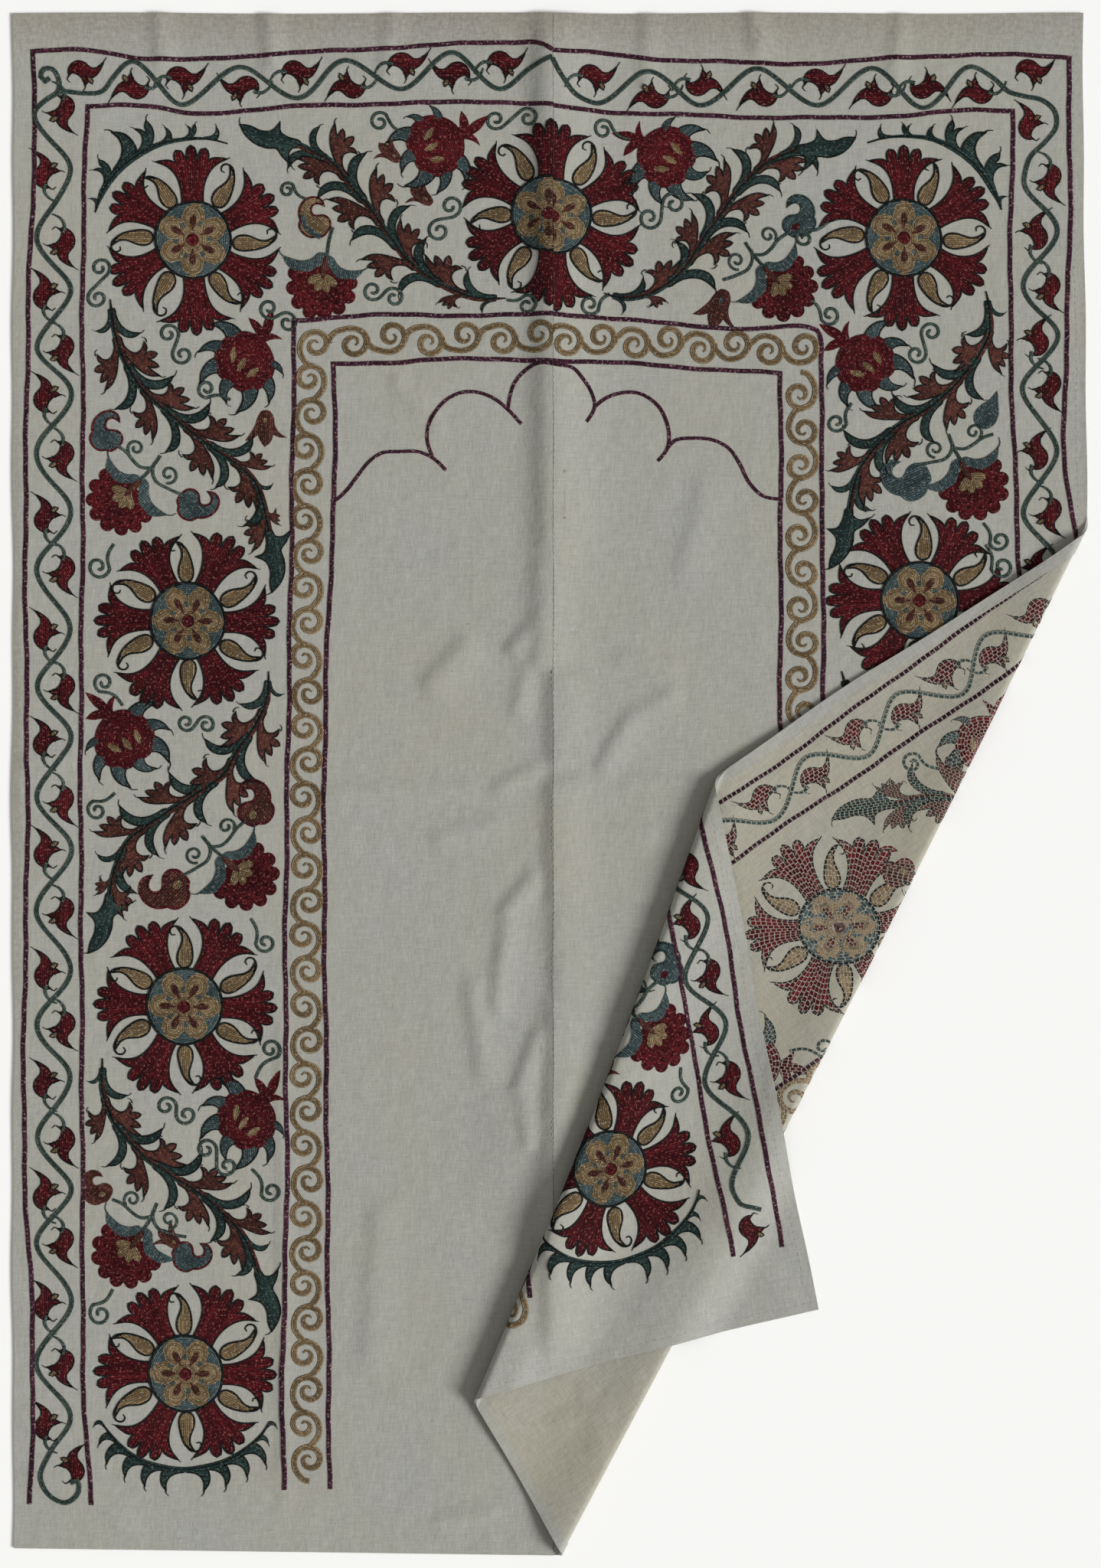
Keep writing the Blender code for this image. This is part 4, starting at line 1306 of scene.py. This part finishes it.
BELL = (
    (-2, 3), (4, 7.5), (12, 9), (19, 13), (25, 21, SHARP), (24.5, 14), (21.5, 8, SHARP),
    (28, 6), (33, 0, SHARP), (27, -4), (21.5, -6, SHARP), (25, -10.5), (27, -18, SHARP),
    (19, -12.5), (12, -9), (4, -7), (-2, -3))
STEM_BACK = ((-25, 1), (-38, 1), (-54, 4))
UPPER_STEM = ((-40, 2), (-34, 9), (-33, 18), (-34, 28), (-32, 40))
LOWER_STEM = ((-46, 3), (-38, -3), (-35, -11), (-38, -22), (-44, -36))
SPOT = ring[::4] * np.array([4.0, 3.0]) + np.array([9.0, -2.0])
TENDRIL_WIDE, COIL_WIDE, BACK_STEM_WIDE = 2.8, 2.4, 3.0


def lobes(radius, depth, count, spread, back):
    """A fan of round scallops that closes at a point behind it."""
    share = np.linspace(0.0, 1.0, count * 7 + 1)
    reach = radius + depth * np.abs(np.sin(share * count * math.pi)) ** 0.6
    angle = np.radians((share - 0.5) * 2.0 * spread)
    fan = reach[:, None] * np.column_stack([np.cos(angle), np.sin(angle)])
    return np.concatenate([fan, [[back, 0.0]]])


def curl(centre, radius, leave, way):
    """A coil about a centre that opens out until it leaves at an angle."""
    share = np.linspace(0.0, 1.0, 26)
    turn = np.radians(leave - way * 440.0 * (1.0 - share))
    reach = radius * (0.16 + 0.84 * share ** 0.8)
    return np.array(centre) + reach[:, None] * np.column_stack([np.cos(turn), np.sin(turn)])


def leaf(points, thread, edge="red", spot="gold"):
    shapes = edged(points, thread, edge=edge, wide=1.9)
    return shapes + ((spot, fill(SPOT, level=3)),) if spot else shapes


def bell(spot):
    return (("brown", fill(curve(BELL, closed=True, step=2.6))),
            (spot, fill(SPOT * 0.6 + np.array([2.0, 1.0]), level=2)))


carnation = (("red", fill(lobes(27.0, 6.5, CARNATION_LOBES, CARNATION_SPREAD, -18.0),
                          fanned_rows)),)
red_petal = ("red", fill(ring[::4] * np.array([11.0, 8.2]) + np.array([21.0, 0.0]), lobe_rows,
                         level=1))
gold_finger = ("gold", fill(ring[::4] * np.array([8.5, 4.3]) + np.array([7.0, 0.0]), level=3))
for at in range(CARNATION_LOBES):
    angle = CARNATION_SPREAD * ((2 * at + 1) / CARNATION_LOBES - 1.0)
    carnation += set_in((red_petal,), 0.0, 0.0, angle)
for angle in (-62, -20, 22, 64):
    carnation += set_in((gold_finger,), -8.0, 0.0, angle)
carnation += (
    ("brown", fill(curve(STAMEN, closed=True, step=2.4), level=5)),
    ("blue", fill(curve(SEPAL, closed=True), level=2)),
    ("blue", moved(fill(curve(SEPAL, closed=True), level=2), 0.0, 0.0, 0.0, 1.08, True)),
    ("sage", strip(curve(STEM_BACK), BACK_STEM_WIDE, level=1)),
) + hair((-19, 36), (-22, 41), (-27, 43), thread="blue") + hair(
    (-20, -38), (-23, -43), (-28, -45), thread="blue")
upper, lower = (
    (("sage", strip(curve(stem), TENDRIL_WIDE, level=1)),
     ("sage", strip(coil, COIL_WIDE, level=1)))
    for stem, coil in ((UPPER_STEM, curl((-43, 25), 8.0, 10, -1)),
                       (LOWER_STEM, curl((-48, -14), 8.5, -30, 1))))
UPPER_LEAVES = (
    (), set_in(leaf(BLOB_LEAF, "blue", "green", "red"), -32, 40, 95),
    set_in(leaf(BLOB_LEAF, "blue", spot=None), -32, 38, 95),
    set_in(leaf(BLOB_LEAF, "brown"), -32, 38, 95, 1.15),
    set_in(leaf(BLOB_LEAF, "brown", "brown"), -34, 44, 80, 0.85),
    set_in(leaf(POINT_LEAF, "blue", "blue", None), -44, 32, 123, 0.9),
    set_in(leaf(BLOB_LEAF, "blue", "green", "red"), -32, 40, 95),
    set_in(leaf(BLOB_LEAF, "brown"), -32, 38, 95))
LOWER_LEAVES = (
    (), set_in(bell("blue"), -35, -43, -66, 1.08),
    set_in(leaf(BLOB_LEAF, "blue", spot=None), -44, -35, -95, 1.0, True),
    set_in(leaf(BLOB_LEAF, "brown"), -44, -35, -95, 1.25, True),
    set_in(leaf(BLOB_LEAF, "blue", spot=None), -31, -34, -87, 0.95, True),
    set_in(leaf(BLOB_LEAF, "blue", "blue", None), -32, -30, -97, 1.2, True),
    set_in(leaf(BLOB_LEAF, "gold"), -40, -35, -85, 0.9, True),
    set_in(leaf(BLOB_LEAF, "brown"), -44, -35, -95, 1.0, True))
carnation_work = defaultdict(new_work)
for flower, upper_leaf, lower_leaf in zip(CARNATIONS, UPPER_LEAVES, LOWER_LEAVES):
    spray = carnation
    if upper_leaf:
        spray += upper + upper_leaf + lower + lower_leaf
    place_all(carnation_work, spray, flower.x, flower.y, flower.opens, 1.0, flower.flip)
finish_work("carnations", carnation_work)

# Small fillings: drops, bells and buds that close the gaps in the border, some
# edged in a second silk.
Sprout = namedtuple("Sprout", "shape x y turn size flip")
GOLD_LEAF = leaf(BLOB_LEAF, "gold", spot=None) + (
    ("blue", strip(curve(((2, -8), (10, -10), (20, -9), (28, -3))), 5.0, level=3)),)
BELL_BROWN = bell("gold")
SPROUTS = (
    Sprout(GOLD_LEAF, -209.0, 519.0, 140, 1.0, True),
    Sprout(BELL_BROWN, -267.7, 350.0, -90, 1.0, False),
    Sprout(BELL_BROWN, -143.0, 587.0, 140, 0.72, False),
    Sprout(BELL_BROWN, -113.0, 547.0, 140, 0.72, False),
    Sprout(BELL_BROWN, -350, -433, 140, 0.75, False),
    Sprout(BELL_BROWN, 350, -433, 40, 0.75, True),
)
small_work = defaultdict(new_work)
for sprout in SPROUTS:
    place_all(small_work, sprout.shape, sprout.x, sprout.y, sprout.turn, sprout.size, sprout.flip)
finish_work("fillings", small_work)

# Tendrils: thin green stems that roll up at one end or at both, in the gaps
# that are left.
Tendril = namedtuple("Tendril", "x0 y0 x1 y1 radius both twice")
TENDRILS = (
    Tendril(-423, 486, -425, 457, 8, True, False), Tendril(-263, 447, -246, 434, 8, True, False),
    Tendril(-359, 424, -345, 404, 8, True, True), Tendril(-160, 622, -134, 611, 8, False, False),
    Tendril(-51, 625, -21, 626, 8, True, False), Tendril(-94, 543, -104, 520, 9, True, False),
    Tendril(-167, 464, -147, 457, 9, True, False), Tendril(-246, 559, -228, 550, 6, False, False),
    Tendril(-21, 450, -40, 455, 8, False, False), Tendril(50, 616, 76, 606, 8, False, False),
    Tendril(116, 546, 93, 533, 9, True, False), Tendril(240, 514, 262, 530, 7, False, False),
    Tendril(37, 451, 56, 462, 8, False, False), Tendril(263, 441, 244, 455, 8, False, False),
    Tendril(-425, 205, -410, 226, 9, False, True), Tendril(-419, 95, -402, 74, 8, False, True),
    Tendril(-341, 58, -322, 55, 7, True, True), Tendril(-322, 371, -300, 362, 7, False, False),
    Tendril(-425, -24, -408, -8, 8, False, True), Tendril(-267, -148, -280, -126, 8, False, True),
    Tendril(-262, -249, -276, -276, 8, False, True),
    Tendril(-361, -303, -342, -311, 8, True, True), Tendril(-303, -358, -323, -343, 8, True, True),
    Tendril(-262, -383, -280, -362, 8, False, True),
    Tendril(-423, -497, -410, -474, 9, False, False), Tendril(270, 340, 284, 358, 8, False, False),
    Tendril(423, 230, 408, 246, 8, False, False), Tendril(428, -464, 434, -440, 8, False, False),
)
tendril_work = defaultdict(new_work)
for at, (tendril, hand) in enumerate(
        [(tendril, hand) for tendril in TENDRILS for hand in (1, -1)[:1 + tendril.twice]]):
    start, end = (hand * tendril.x0, tendril.y0), (hand * tendril.x1, tendril.y1)
    way = 1 if at % 2 else -1
    gap = math.dist(start, end)
    radius = min(tendril.radius * 1.2, gap * (0.46 if tendril.both else 0.62))
    heading = math.degrees(math.atan2(end[1] - start[1], end[0] - start[0]))
    reach = 2 * radius if tendril.both else radius
    lean = way * math.degrees(math.acos(min(0.95, reach / gap)))
    path = curl(start, radius, heading - lean, way)
    if tendril.both:
        path = np.concatenate([path, curl(end, radius, heading + 180 - lean, -way * -1)[::-1]])
    else:
        last, stop = path[-1], np.array(end)
        bow = way * 0.16 * np.array([last[1] - stop[1], stop[0] - last[0]])
        path = np.concatenate([path, curve((last, (last + stop) / 2 + bow, stop))[1:]])
    sew(tendril_work, "sage", strip(path, TENDRIL_WIDE, level=1))
finish_work("tendrils", tendril_work)

# The stage: a plain pale floor, soft light from the right and all around, and
# a camera straight above, as the cloth is seen.
FLOOR_HALF, FLOOR_DROP = 6.0, 0.6 * MM
KEY_POWER, KEY_SPREAD, KEY_TILT, ALL_ROUND_POWER = 3.7, 24, (14, 54), 0.40
floor_mesh = bmesh.new()
bmesh.ops.create_grid(floor_mesh, x_segments=1, y_segments=1, size=FLOOR_HALF)
bmesh.ops.translate(floor_mesh, verts=floor_mesh.verts, vec=(0.0, 0.0, -FLOOR_DROP))
floor_data = bpy.data.meshes.new("floor")
floor_mesh.to_mesh(floor_data)
floor_mesh.free()
floor_material = bpy.data.materials.new("floor_paint")
floor_material.use_nodes = True
floor_shader = floor_material.node_tree.nodes["Principled BSDF"]
floor_shader.inputs["Base Color"].default_value = (0.87, 0.87, 0.86, 1.0)
floor_shader.inputs["Roughness"].default_value = 0.9
floor_shader.inputs["Specular IOR Level"].default_value = 0.1
floor_data.materials.append(floor_material)
floor = bpy.data.objects.new("floor", floor_data)
bpy.context.scene.collection.objects.link(floor)
floor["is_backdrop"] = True

key = bpy.data.lights.new("key_light", "SUN")
key.energy = KEY_POWER
key.angle = math.radians(KEY_SPREAD)
key_object = bpy.data.objects.new("key_light", key)
key_object.rotation_euler = (math.radians(KEY_TILT[0]), math.radians(KEY_TILT[1]), 0.0)
bpy.context.scene.collection.objects.link(key_object)

world = bpy.data.worlds.new("studio")
world.use_nodes = True
world.node_tree.nodes["Background"].inputs["Color"].default_value = (1.0, 0.99, 0.97, 1.0)
world.node_tree.nodes["Background"].inputs["Strength"].default_value = ALL_ROUND_POWER
bpy.context.scene.world = world
bpy.context.scene.view_settings.view_transform = "Standard"

FRAME_HIGH, LENS, SENSOR = 1474.6 * MM, 85.0, 36.0
camera_data = bpy.data.cameras.new("camera")
camera_data.sensor_fit = "VERTICAL"
camera_data.sensor_height = SENSOR
camera_data.lens = LENS
camera = bpy.data.objects.new("camera", camera_data)
camera.location = (0.4 * MM, 0.4 * MM, FRAME_HIGH * LENS / SENSOR)
bpy.context.scene.collection.objects.link(camera)
bpy.context.scene.camera = camera

size = {"cad": [list(corner) for corner in cad_box],
        "visual": [list(corner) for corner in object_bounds()]}
